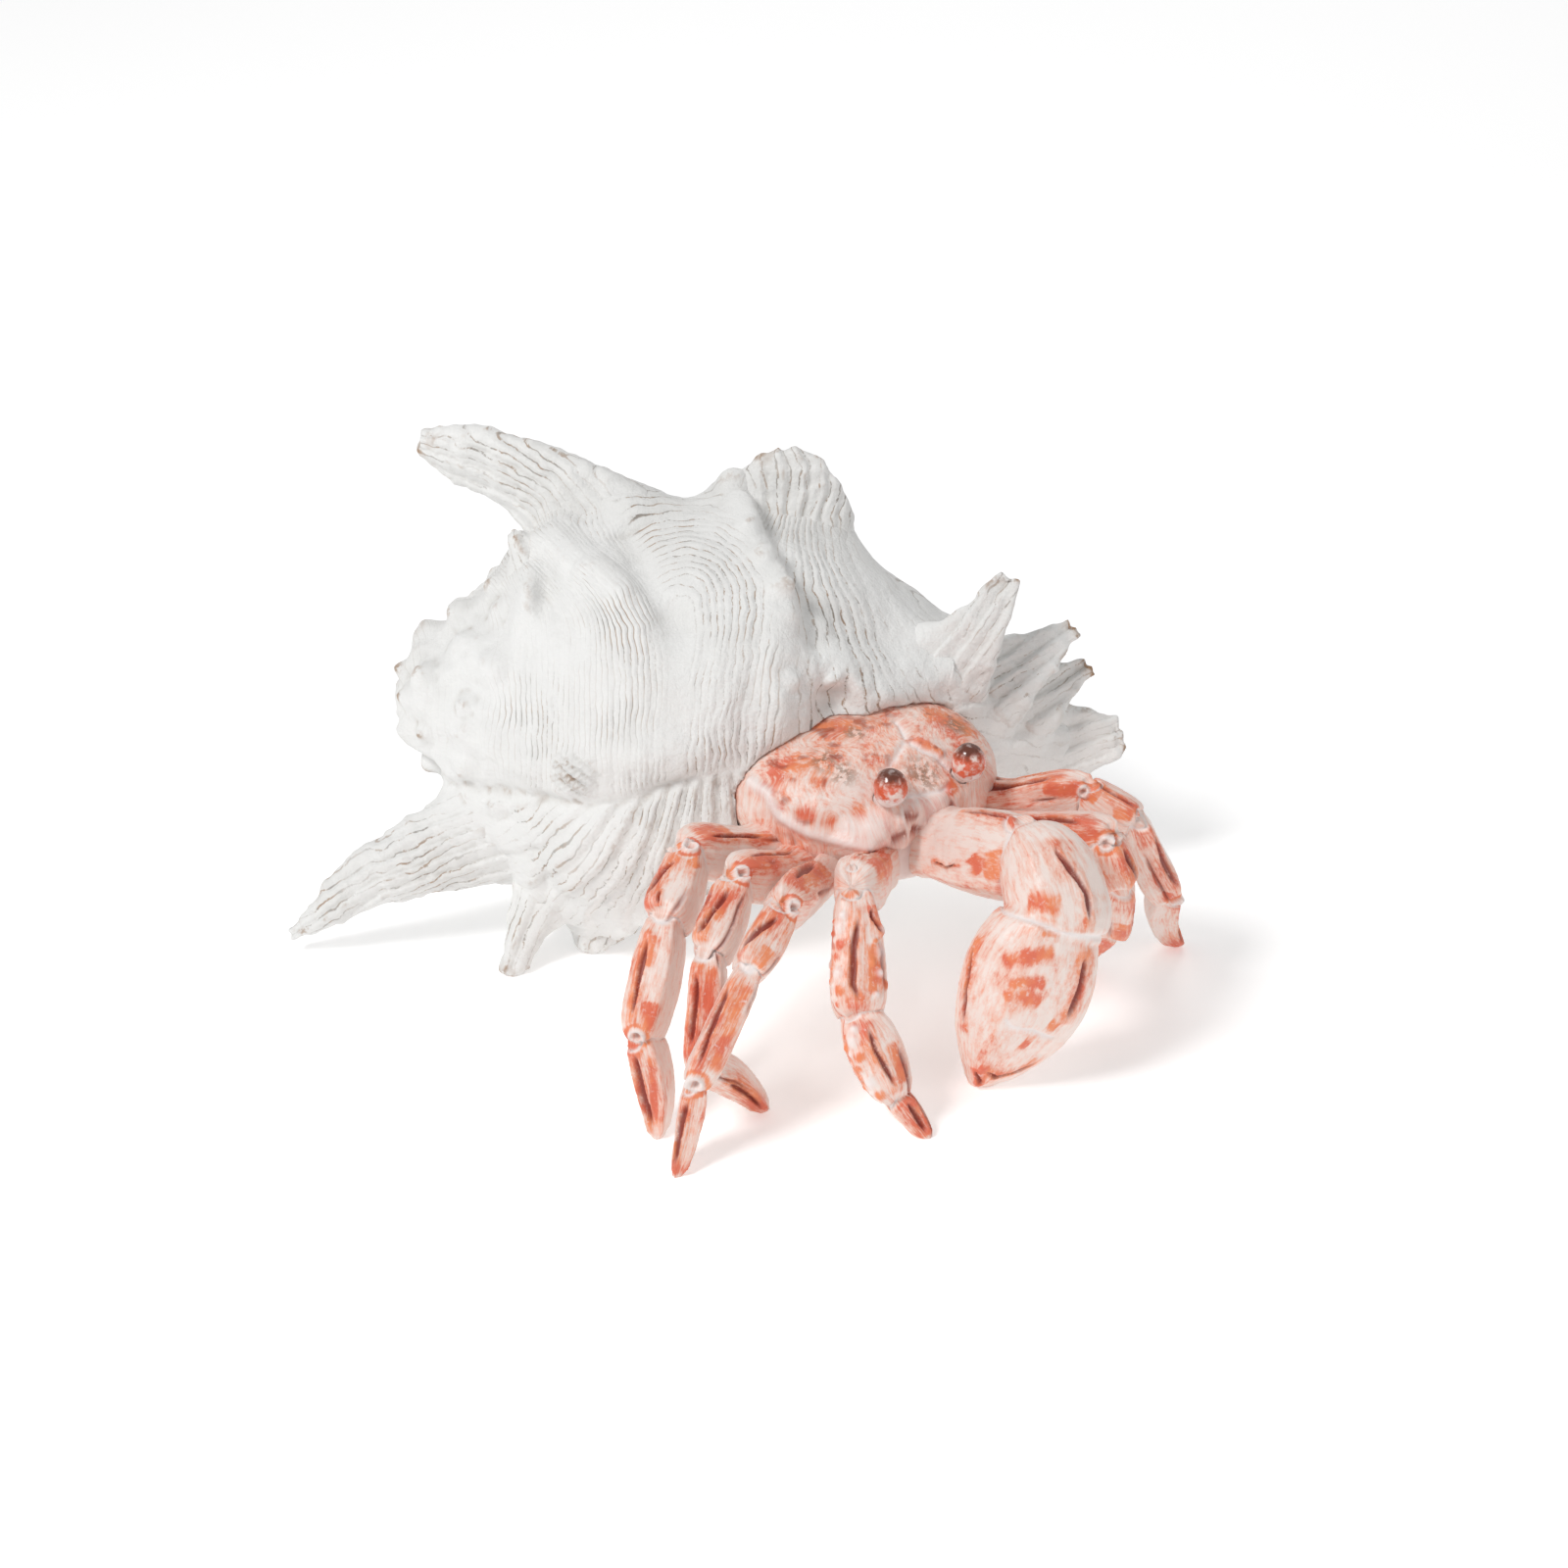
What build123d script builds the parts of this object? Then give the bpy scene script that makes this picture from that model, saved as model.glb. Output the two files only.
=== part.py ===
"""Hermit crab figurine: a cast resin crab pinned and glued into a hollow cast shell with spines.

Millimetres, +Z up. The crab looks towards -Y and +X. The finished model stands on z = 0
with its box centred on the origin.
"""

from build123d import *
from copy import copy
from math import cos, exp, radians, sin
import os

# Shell casting
SHELL_WALL = 4.5
# Wall round the closed space behind the crab
REAR_WALL = 8
SHELL_POINTS = 36
# Directions round the shell axis, in degrees from straight up towards the back
SHELL_SIDES = {"front": -62, "top": 28, "back": 118, "bottom": 208}
# Along the shell axis: x, centre y, centre z, then radius to the front, top, back and bottom
SHELL_STATIONS = [
    (-130, 26, 78, 6, 6, 6, 6),
    (-121, 27, 78, 18, 18, 18, 18),
    (-108, 28, 77, 29, 31, 31, 35),
    (-90, 29, 77, 44, 48, 48, 54),
    (-68, 30, 76, 60, 68, 66, 73),
    (-45, 31, 76, 67, 71, 70, 76),
    (-17, 32, 76, 69, 65, 68, 71),
    (0, 34, 75, 63, 63, 65, 65),
    (20, 37, 73, 56, 57, 60, 57),
    (38, 39, 69, 50, 44, 52, 49),
    (58, 43, 65, 39, 32, 42, 41),
    (76, 48, 61, 29, 25, 33, 33),
    (89, 51, 58, 19, 16, 21, 22),
    (96, 52, 57, 9, 9, 9, 9),
]
# Folds of the shell: height, half width, and the path that each follows; valleys have a height below 0
SHELL_FOLDS = {
    "shoulder": (4.5, 11, [(-87, 44, 126), (-77, 22, 132), (-62, 3, 134), (-48, -11, 127)]),
    "valley beside the shoulder": (-4.5, 9, [(-60, 40, 141), (-51, 20, 144), (-41, -6, 133), (-35, -16, 126)]),
    "varix": (
        5.5, 8,
        [(-18, 54, 138), (-18, 40, 141), (-14, 28, 141), (-5, 2, 131), (-1, -12, 118), (2, -22, 101)],
    ),
    "varix at the back": (4.5, 8, [(-16, 56, 137), (-10, 76, 125), (-2, 96, 90), (0, 97, 68), (12, 78, 32)]),
    "second varix at the back": (4.5, 9, [(-60, 62, 141), (-66, 84, 118), (-68, 95, 88), (-62, 90, 55)]),
    "hood valley": (-3.5, 8, [(14, 2, 121), (24, 3, 116), (34, 8, 111), (46, 15, 104)]),
    "rolled lip": (3, 7, [(15, -9, 110), (24, -8, 104), (34, -4, 99), (46, 4, 94), (55, 12, 92)]),
    "drum edge": (2.5, 7, [(-90, -16, 77), (-68, -31, 80), (-48, -36, 83), (-30, -37, 88)]),
    "crease": (-4.5, 7, [(-116, 11, 59), (-88, -19, 66), (-68, -33, 70), (-48, -37, 73), (-20, -37, 82)]),
    "rib to the long spine": (3.5, 8, [(-63, -34, 62), (-84, -21, 53), (-99, -3, 44)]),
    "rib to the front belly spine": (3.5, 8, [(-55, -36, 60), (-66, -32, 46), (-78, -10, 25)]),
    "rib to the rear belly spine": (3.5, 8, [(-44, -37, 58), (-52, -32, 40), (-62, -8, 12)]),
    "rib beside the legs": (3, 8, [(-30, -37, 58), (-35, -33, 42), (-38, -18, 18)]),
    "rib to the left rear spine": (3.5, 8, [(-35, 99, 66), (-48, 92, 46), (-60, 70, 18)]),
    "rib to the right rear spine": (3.5, 8, [(14, 96, 66), (17, 86, 44), (18, 70, 22)]),
}
# Rings of knobs round the pointed end: x, number of knobs, height and half width along the axis
KNOB_RINGS = [(-120, 6, 4, 6), (-105, 9, 4, 7)]

# Crab stance: where its face is, and how far its nose and the shell mouth turn from -Y towards +X
FACE = Vector(45.5, -37, 70)
HEADING = 34
MOUTH_HEADING = 30
# Distance from the face back to the shell's mouth, then to the wall inside that the crab rests on
FACE_TO_MOUTH = 30.5
MOUTH_DEPTH = 20.5
INNER_WALL = 8

# Crab body sections: distance behind the face, middle to the crab's left, half width,
# top and bottom height
CARAPACE_ROWS = [
    (FACE_TO_MOUTH + MOUTH_DEPTH, -6, 37, 89, 51),
    (43, -5, 42.5, 91, 49),
    (34, -4.5, 44.5, 91.5, 48),
    (20, -3, 43, 89.5, 49),
    (8, -1.5, 36.5, 85, 52),
    (1, 0, 26, 80, 57),
    (-3, 0, 13, 75, 62),
]
CARAPACE_FULLNESS = 2.5
STERNUM_FULLNESS = 2.2
BODY_POINTS = 24
STERNUM_ROWS = [
    (48, 0, 23, 62, 47),
    (36, 0, 30, 65, 43),
    (18, 0, 32, 65, 42),
    (5, 0, 26, 63, 44),
    (-1, 0, 14, 60, 48),
]

# Round plug at the back of the crab body, which goes through the wall inside the shell
PLUG_DIAMETER = 26
PLUG_PAST_WALL = 6
PLUG_CLEARANCE = 0.3
BODY_CLEARANCE = 0.3

# Eyes: place from the face, ball radii, and the stalk that goes down into a socket
EYE_SIDE = 15.5
EYE_FORWARD = 2.5
EYE_UP = 14
EYE_RADIUS = 5.6
EYE_HEIGHT_RADIUS = 6.6
EYE_STALK_DIAMETER = 6.4
EYE_STALK_DOWN = 12
EYE_STALK_BACK = 9
EYE_CLEARANCE = 0.15

# Steel dowels of the limbs and wires of the spines
LEG_PIN_DIAMETER = 3.2
LEG_PIN_LENGTH = 18
SPINE_PIN_DIAMETER = 2
SPINE_PIN_LENGTH = 9
SPINE_PIN_IN_WALL = 0.5 * SHELL_WALL
PIN_CLEARANCE = 0.1

# Limbs: joints from the hip to the tip, the width of each segment at start, middle and end,
# and how thick a segment is for its width
LIMBS = {
    "right_leg_1": (
        [(15.4, -44.2, 52), (0.3, -99.4, 71), (-10.6, -118.4, 58), (-26.9, -135.2, 28), (-33.3, -145.1, -1)],
        [(9, 16, 17), (13, 17, 15), (12, 14.5, 13), (10, 10.5, 4)],
        0.8,
    ),
    "right_leg_2": (
        [(9.6, -37.7, 52), (-14.7, -82.7, 71), (-23.1, -107.6, 58), (-25.3, -120.8, 24), (-5.6, -106.8, -1)],
        [(8, 15, 16), (13, 17, 16), (13, 16, 14), (11, 11, 4)],
        0.8,
    ),
    "right_leg_3": (
        [(5, -30, 53), (-30, -68.6, 73), (-36.8, -93.9, 62), (-44.3, -115.6, 33), (-39.6, -123.4, -1)],
        [(9, 17, 17), (14, 18, 18), (14, 18, 15), (12, 12.5, 4)],
        0.8,
    ),
    "small_claw": (
        [(30, -42.6, 54), (22, -85.4, 69), (23.3, -107, 36), (34.4, -117.1, 12), (45.2, -122.8, -1)],
        [(10, 17, 18), (14, 21, 21), (17, 22, 16), (11, 10.5, 5)],
        0.85,
    ),
    "left_leg_1": (
        [(59.5, -16.1, 54), (102, -58.3, 73), (106.8, -60, 56), (106.7, -42.6, 30), (102, -16.8, -1)],
        [(9, 15, 15), (12, 17, 17), (13, 16, 14), (10, 10, 4)],
        0.85,
    ),
    "left_leg_2": (
        [(56.5, -7.6, 56), (96.5, -31.6, 75), (112.8, -37, 66), (126.2, -26.4, 33), (133.9, -1.8, -1)],
        [(9, 15, 15), (12, 16, 15), (12, 14.5, 13), (10, 11, 4.5)],
        0.8,
    ),
}
HIP_INSIDE = 14
# Sections along a limb segment: part of its length, and part of its width there
SEGMENT_ROWS = [(-0.1, 0.5), (0.02, 0.85), (0.3, 1), (0.65, 1), (0.96, 0.96), (1.06, 0.55)]
# How far the middle of each limb segment bows outwards, for its length
SEGMENT_BOW = (0.03, 0.06, 0.02, 0.09)

# Big claw: sections of the arm, the wrist and the palm as x, y, z, width and thickness,
# with the direction that its broad side faces
CLAW_BROAD_SIDE = Vector(0.25, -0.93, 0.25)
CLAW_SEGMENTS = [
    [(40, -25, 50, 12, 12), (50, -36, 56, 22, 20), (60, -49, 62, 29, 25), (70, -62, 67, 31, 26),
     (79, -73, 70, 27, 23), (84, -79, 71, 13, 12)],
    [(75, -69, 79, 12, 12), (80, -77, 75, 27, 24), (85, -85, 66, 32, 27), (87, -90, 56, 31, 25),
     (88, -93, 50, 16, 14)],
    [(84, -90, 66, 14, 13), (83, -91, 60, 31, 22), (79, -93, 48, 41, 25), (75, -94, 33, 42, 24),
     (69, -93, 16, 31, 17), (64, -91, 4, 14, 10), (62, -90, -1, 7, 6)],
]

# Spines: rows along the spine as x, y, z, width and thickness, the first row inside the shell,
# and the direction of the width
SPINES = {
    "upper_long_spine": (
        [(-48, 42, 118, 40, 22), (-62, 46, 132, 42, 20), (-78, 51, 144, 36, 16), (-98, 57, 151, 27, 12),
         (-113, 60, 155, 19, 9), (-122, 61, 157, 10, 6)],
        (0.3, -0.3, 1),
    ),
    "lower_long_spine": (
        [(-76, 9, 52, 38, 24), (-95, 2, 44, 38, 21), (-118, -4, 36, 29, 16), (-136, -8, 29.5, 22, 12),
         (-153, -9, 17, 13, 9), (-166, -8, 7, 5, 4)],
        (-0.4, 0.2, 1),
    ),
    "shoulder_spine": (
        [(-75, 28, 116, 14, 13), (-82.4, 24, 129, 13, 11), (-86, 22, 137, 8, 7), (-88.5, 20, 142.5, 4, 3)],
        (1, 0, 0.4),
    ),
    "crest_frond": (
        [(0, 53, 120, 30, 18), (0.5, 49, 137, 42, 14), (0.8, 47, 147, 38, 10), (0, 46, 156, 26, 7),
         (-1, 45.5, 161, 11, 4)],
        (1, 0, -0.1),
    ),
    "lip_frond_1": (
        [(48, 26, 82, 30, 14), (55, 17, 97, 29, 11), (62, 15, 107, 21, 8), (69, 18, 118, 14, 6),
         (74.5, 21, 126.5, 7, 4)],
        (-0.7, 0.2, 0.4),
    ),
    "lip_frond_2": (
        [(58, 34, 76, 28, 14), (68, 26, 84, 27, 10), (79, 27, 91, 20, 8), (89, 31, 97, 13, 5.5),
         (97, 35, 101, 7, 4)],
        (-0.45, 0.35, 0.7),
    ),
    "lip_frond_3": (
        [(63, 40, 64, 26, 13), (75, 32, 70, 25, 10), (86, 33, 76, 19, 8), (95, 36, 81, 13, 5.5),
         (103, 38, 85, 7, 4)],
        (-0.4, 0.35, 0.8),
    ),
    "lip_frond_4": (
        [(64, 45, 48, 24, 14), (78, 38, 50, 28, 11), (92, 38, 53, 27, 8), (105, 38, 57, 22, 6),
         (115, 39, 60, 12, 4)],
        (-0.3, 0.3, 1),
    ),
    "belly_spine_front": (
        [(-70, 5, 38, 26, 20), (-79, -7, 24, 22, 15), (-87, -16, 11, 14, 11), (-92, -22, -1, 8, 7)],
        (1, 0, 0.3),
    ),
    "belly_spine_rear": (
        [(-56, 10, 36, 28, 20), (-60, 0, 20, 25, 15), (-63, -4, 9, 16, 11), (-65, -6, -1, 9, 8)],
        (1, 0, 0.1),
    ),
    "rear_spine_left": (
        [(-56, 56, 36, 24, 18), (-60, 68, 21, 20, 15), (-62, 75, 10, 14, 11), (-63, 80, -1, 9, 8)],
        (1, 0, 0),
    ),
    "rear_spine_right": (
        [(16, 58, 36, 24, 18), (18, 71, 21, 20, 15), (20, 80, 10, 14, 11), (21, 86, -1, 9, 8)],
        (1, 0, 0),
    ),
}

# Ways along the crab: forward, to its left, and up
NOSE = Vector(sin(radians(HEADING)), -cos(radians(HEADING)), 0)
LEFT = Vector(cos(radians(HEADING)), sin(radians(HEADING)), 0)
UP = Vector(0, 0, 1)
FAR = 600

# Castings that touch a neighbour, and the neighbour they are cut back to
TOUCHING = {
    "right_leg_2": "right_leg_1",
    "right_leg_3": "right_leg_2",
    "left_leg_2": "left_leg_1",
    "belly_spine_front": "lower_long_spine",
    "lip_frond_2": "lip_frond_1",
    "lip_frond_3": "lip_frond_2",
    "lip_frond_4": "lip_frond_3",
}


def radius_round(angle, radii):
    """Radius of a shell section in a direction, eased between its four given sides."""
    total = 0
    for side, radius in zip(SHELL_SIDES.values(), radii):
        apart = abs((angle - side + 180) % 360 - 180)
        if apart < 90:
            total += radius * cos(radians(apart)) ** 2
    return total


def distance_to_path(point, path):
    """Distance from a point to a path of straight runs."""
    nearest = FAR
    for start, end in zip(path, path[1:]):
        start, end = Vector(*start), Vector(*end)
        run = end - start
        part = min(max((point - start).dot(run) / run.dot(run), 0), 1)
        nearest = min(nearest, (point - start - run * part).length)
    return nearest


def relief(point, angle):
    """Height of the folds and knobs at a point of the plain shell."""
    height = 0
    for tall, half_width, path in SHELL_FOLDS.values():
        height += tall * exp(-((distance_to_path(point, path) / half_width) ** 2))
    for x, count, tall, half_width in KNOB_RINGS:
        knob = 0.5 + 0.5 * cos(radians(count * angle))
        height += tall * knob * exp(-(((point.X - x) / half_width) ** 2))
    return height


def shell_section(station, inset):
    """Closed outline across the shell at one station; inside the wall only the valleys show."""
    x, y, z, *radii = station
    plane = Plane(origin=(x, y, z), x_dir=(0, 1, 0), z_dir=(1, 0, 0))
    outline = []
    for i in range(SHELL_POINTS):
        angle = 360 * i / SHELL_POINTS
        across, rise = sin(radians(angle)), cos(radians(angle))
        plain = radius_round(angle, radii)
        fold = relief(Vector(x, y + plain * across, z + plain * rise), angle)
        radius = plain + min(fold, 0) - inset if inset else plain + fold
        outline.append((radius * across, radius * rise))
    return plane * make_face(Spline(*outline, periodic=True))


def with_stations_between(stations):
    """Stations with one more between each two, on the curve through their four neighbours."""
    last = len(stations) - 1
    rows = [stations[0]]
    for i in range(last):
        four = stations[max(i - 1, 0)], stations[i], stations[i + 1], stations[min(i + 2, last)]
        rows.append([(9 * (b + c) - a - d) / 16 for a, b, c, d in zip(*four)])
        rows.append(stations[i + 1])
    return rows


def shell_form(inset=0):
    """Whole outside of the shell, or its hollow when given the wall as an inset."""
    fits = [s for s in with_stations_between(SHELL_STATIONS) if min(s[3:]) > 3 * inset]
    return loft([shell_section(s, inset) for s in fits])


def slab(heading, start, end):
    """Everything between two distances behind the face, square to a heading."""
    way = Vector(sin(radians(heading)), -cos(radians(heading)), 0)
    plane = Plane(origin=FACE - way * end, x_dir=(0, 0, 1), z_dir=way)
    return plane * extrude(Rectangle(FAR, FAR), end - start)


def ground():
    return Pos(0, 0, -FAR / 2) * Box(FAR, FAR, FAR)


def bar(start, way, diameter, length):
    """Round bar from a point along a direction."""
    return Plane(origin=start, z_dir=way) * extrude(Circle(diameter / 2), length)


def largest(shape):
    """The biggest solid of a shape, without slivers left by a cut."""
    return max(shape.solids(), key=lambda solid: solid.volume)


def plug(diameter):
    """Round bar from inside the crab's back through the wall inside the shell."""
    root = 2
    start = FACE - NOSE * (FACE_TO_MOUTH + MOUTH_DEPTH - root)
    return bar(start, -NOSE, diameter, root + INNER_WALL + PLUG_PAST_WALL)


def body_section(behind, sideways, half_width, top, bottom, fullness):
    """Rounded outline across the crab's nose line; a fullness of 2 is an ellipse."""
    middle = FACE - NOSE * behind + LEFT * sideways
    plane = Plane(origin=(middle.X, middle.Y, (top + bottom) / 2), x_dir=LEFT, z_dir=NOSE)
    half_height = (top - bottom) / 2
    outline = []
    for i in range(BODY_POINTS):
        turn = radians(360 * i / BODY_POINTS)
        across = abs(cos(turn)) ** (2 / fullness) * (1 if cos(turn) > 0 else -1)
        rise = abs(sin(turn)) ** (2 / fullness) * (1 if sin(turn) > 0 else -1)
        outline.append((half_width * across, half_height * rise))
    return plane * make_face(Spline(*outline, periodic=True))


def body_forms(grow=0):
    """Carapace and underside of the crab, grown all round for the space they need in the shell."""
    forms = []
    for rows, fullness in ((CARAPACE_ROWS, CARAPACE_FULLNESS), (STERNUM_ROWS, STERNUM_FULLNESS)):
        sections = []
        for behind, sideways, half, top, bottom in rows:
            sections.append(body_section(behind, sideways, half + grow, top + grow, bottom - grow, fullness))
        forms.append(loft(sections))
    return forms


def cut_all(shape, tools):
    for tool in tools:
        shape = shape - tool
    return shape


def make_shell(outside):
    """Hollow shell with its wall inside, the hole for the plug and room for the crab."""
    seat = FACE_TO_MOUTH + MOUTH_DEPTH
    chamber = shell_form(SHELL_WALL) & slab(HEADING, -FAR, seat)
    rear = shell_form(REAR_WALL) & slab(HEADING, seat + INNER_WALL, FAR)
    hole = plug(PLUG_DIAMETER + 2 * PLUG_CLEARANCE)
    return cut_all(outside, [chamber, rear, *body_forms(BODY_CLEARANCE), hole])


def horn(rows, wide_way, seam_on_side=False):
    """Loft of ellipses along a bent path; rows hold x, y, z, width and thickness."""
    points = [Vector(*row[:3]) for row in rows]
    sections = []
    for i, (point, row) in enumerate(zip(points, rows)):
        along = points[min(i + 1, len(rows) - 1)] - points[max(i - 1, 0)]
        across = along.cross(Vector(*wide_way))
        if seam_on_side:
            plane = Plane(origin=point, x_dir=across, z_dir=along)
            sections.append(plane * Ellipse(row[4] / 2, row[3] / 2))
        else:
            plane = Plane(origin=point, x_dir=across.cross(along), z_dir=along)
            sections.append(plane * Ellipse(row[3] / 2, row[4] / 2))
    return loft(sections)


def width_along(widths, part):
    """Smooth width through the start, middle and end widths of a segment."""
    first, middle, last = widths
    early = 2 * first * (part - 0.5) * (part - 1)
    late = 2 * last * part * (part - 0.5)
    return early - 4 * middle * part * (part - 1) + late


def segment(start, end, widths, thickness, across, bow, seam_on_side):
    """One limb segment, wider in the plane that the limb bends in."""
    along = end - start
    outward = across.cross(along).normalized()
    rows = []
    for part, share in SEGMENT_ROWS:
        width = width_along(widths, part) * share
        rise = 4 * bow * along.length * part * (1 - part)
        point = start + along * part + outward * rise
        rows.append((point.X, point.Y, point.Z, width, width * thickness))
    return horn(rows, outward, seam_on_side)


def make_limb(joints, widths, thickness):
    """Leg of four segments, from inside the body to below the ground."""
    points = [Vector(*joint) for joint in joints]
    across = (points[1] - points[0]).cross(points[4] - points[1])
    points[0] = points[0] - (points[1] - points[0]).normalized() * HIP_INSIDE
    limb = None
    for i, bow in enumerate(SEGMENT_BOW):
        piece = segment(points[i], points[i + 1], widths[i], thickness, across, bow, i % 2 == 1)
        limb = piece if limb is None else limb + piece
    return limb


def make_claw():
    """Big claw of an arm, a wrist and a palm."""
    claw = None
    for i, rows in enumerate(CLAW_SEGMENTS):
        wide_way = CLAW_BROAD_SIDE.cross(Vector(*rows[-1][:3]) - Vector(*rows[0][:3]))
        piece = horn(rows, wide_way, i % 2 == 0)
        claw = piece if claw is None else claw + piece
    return claw


def eye_stalk(side, grow=0):
    """Round stalk from inside the body up to the middle of the eye ball."""
    centre = FACE + LEFT * (EYE_SIDE * side) + NOSE * EYE_FORWARD + UP * EYE_UP
    foot = centre - NOSE * EYE_STALK_BACK - UP * EYE_STALK_DOWN
    way = (centre - foot).normalized()
    return bar(foot - way * grow, way, EYE_STALK_DIAMETER + 2 * grow, (centre - foot).length + grow)


def make_eye(side, forms):
    """Eye ball resting on the body, on its stalk."""
    centre = FACE + LEFT * (EYE_SIDE * side) + NOSE * EYE_FORWARD + UP * EYE_UP
    ball = Pos(*centre) * scale(Sphere(EYE_RADIUS), (1, 1, EYE_HEIGHT_RADIUS / EYE_RADIUS))
    return largest(cut_all(ball, forms)) + eye_stalk(side)


def seat_on(form, path):
    """Point where a path of straight runs leaves a solid, and the direction of the run there."""
    seat = None
    for start, end in zip(path, path[1:]):
        way = (end - start).normalized()
        for point, facing in form.find_intersection_points(Axis(start, way)):
            if 0 < (point - start).dot(way) < (end - start).length:
                seat = (point, way)
    return seat


def pin_and_hole(seat, way, diameter, length, below):
    """Pin through a seat, and the hole it needs in the two castings."""
    start = seat - way * below
    pin = bar(start, way, diameter, length)
    hole = bar(start - way * PIN_CLEARANCE, way, diameter + 2 * PIN_CLEARANCE, length + 2 * PIN_CLEARANCE)
    return pin, hole


def make_limbs(body, forms):
    """Limbs cut to sit on the body, their dowels, and the dowel holes of the body."""
    limbs = {name: make_limb(*limb) for name, limb in LIMBS.items()}
    roots = {name: joints[:2] for name, (joints, widths, thickness) in LIMBS.items()}
    limbs["big_claw"] = make_claw()
    roots["big_claw"] = [row[:3] for row in CLAW_SEGMENTS[0][::2]]
    pins = []
    holes = []
    for name, limb in limbs.items():
        seat, way = seat_on(body, [Vector(*point) for point in roots[name][:2]])
        pin, hole = pin_and_hole(seat, way, LEG_PIN_DIAMETER, LEG_PIN_LENGTH, LEG_PIN_LENGTH / 2)
        limbs[name] = largest(cut_all(limb, [*forms, ground(), hole]))
        pins.append(pin)
        holes.append(hole)
    return limbs, pins, holes


def make_spines(closed):
    """Spines cut to sit on the shell, their wires, and the wire holes of the shell."""
    spines = {}
    pins = []
    holes = []
    for name, (rows, wide_way) in SPINES.items():
        seat, way = seat_on(closed, [Vector(*row[:3]) for row in rows])
        pin, hole = pin_and_hole(seat, way, SPINE_PIN_DIAMETER, SPINE_PIN_LENGTH, SPINE_PIN_IN_WALL)
        spines[name] = largest(horn(rows, wide_way) - closed - ground() - hole)
        pins.append(pin)
        holes.append(hole)
    return spines, pins, holes


def build():
    """All castings and pins, with the model's box centred over the origin."""
    closed = largest(shell_form() - slab(MOUTH_HEADING, -FAR, FACE_TO_MOUTH))
    forms = body_forms()
    body = forms[0] + forms[1] + plug(PLUG_DIAMETER)
    limbs, leg_pins, leg_holes = make_limbs(body, forms)
    spines, spine_pins, spine_holes = make_spines(closed)
    pieces = {**limbs, **spines}
    for name, neighbour in TOUCHING.items():
        pieces[name] = largest(pieces[name] - pieces[neighbour])
    sockets = [eye_stalk(side, EYE_CLEARANCE) for side in (1, -1)]
    pieces["left_eye"] = make_eye(1, forms)
    pieces["right_eye"] = make_eye(-1, forms)
    pieces["crab_body"] = largest(cut_all(body, leg_holes + sockets))
    pieces["shell_body"] = largest(cut_all(make_shell(closed), spine_holes))
    pieces["leg_pins"] = Compound(children=leg_pins)
    pieces["spine_pins"] = Compound(children=spine_pins)
    box = Compound(children=[copy(piece) for piece in pieces.values()]).bounding_box()
    middle = Pos(-(box.min.X + box.max.X) / 2, -(box.min.Y + box.max.Y) / 2, 0)
    return {name: middle * piece for name, piece in pieces.items()}


def write(pieces):
    os.makedirs("parts", exist_ok=True)
    for name, piece in pieces.items():
        export_step(piece, f"parts/{name}.step")


write(build())
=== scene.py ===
"""Painted hermit crab figurine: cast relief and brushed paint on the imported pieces."""

import bmesh
import bpy
import math
import numpy as np
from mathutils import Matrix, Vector
from mathutils.bvhtree import BVHTree


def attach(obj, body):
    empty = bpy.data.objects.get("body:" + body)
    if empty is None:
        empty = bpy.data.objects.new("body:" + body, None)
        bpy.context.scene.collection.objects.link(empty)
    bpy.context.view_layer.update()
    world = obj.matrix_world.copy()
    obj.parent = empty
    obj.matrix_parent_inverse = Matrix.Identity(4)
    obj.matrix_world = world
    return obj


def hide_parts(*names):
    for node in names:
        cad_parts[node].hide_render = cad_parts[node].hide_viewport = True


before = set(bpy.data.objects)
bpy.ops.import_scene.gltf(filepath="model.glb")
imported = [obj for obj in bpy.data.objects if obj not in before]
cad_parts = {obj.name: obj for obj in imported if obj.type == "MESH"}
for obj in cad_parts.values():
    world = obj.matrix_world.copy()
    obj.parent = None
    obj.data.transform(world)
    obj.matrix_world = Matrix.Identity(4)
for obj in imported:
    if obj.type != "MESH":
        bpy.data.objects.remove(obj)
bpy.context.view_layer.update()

# Lengths below are millimetres in the drawing frame of the castings, which is moved by
# DRAWING_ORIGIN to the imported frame
MM = 0.001
DRAWING_ORIGIN = np.array([15.924, 21.806, 0.0])

# Camera of the photograph
CAMERA_TARGET = (0, 0, 60)
CAMERA_DISTANCE = 1400
CAMERA_ELEVATION = 28
CAMERA_SENSOR = 36
CAMERA_LENS = 96.6

# Studio: half the floor's width, its glow, the light from all round, and the lights with their place,
# size and watts, in metres
FLOOR_HALF = 6
FLOOR_GREY = (0.95, 0.95, 0.95, 1)
FLOOR_GLOW = 0.3
STUDIO_WHITE = (1, 1, 1, 1)
WORLD_LIGHT = 0.36
LIGHT_TARGET = (0, 0, 0.06)
LIGHTS = {
    "key_light": ((-1.0, -0.9, 1.6), 0.6, 22),
    "fill_light": ((1.3, -0.9, 0.9), 1.2, 3.5),
    "back_light": ((0.3, 1.4, 1.5), 1.0, 6),
}

# Crab stance, as the castings have it
FACE = np.array([45.5, -37, 70])
HEADING = math.radians(34)
NOSE = np.array([math.sin(HEADING), -math.cos(HEADING), 0])
LEFT = np.array([math.cos(HEADING), math.sin(HEADING), 0])
MOUTH_HEADING = math.radians(30)
MOUTH_WAY = np.array([math.sin(MOUTH_HEADING), -math.cos(MOUTH_HEADING), 0])
FACE_TO_MOUTH = 30.5
MOUTH_DEPTH = 20.5
INNER_WALL = 8
PLUG_RADIUS = 13.3
PLUG_HOLE_MARGIN = 0.3

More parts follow.
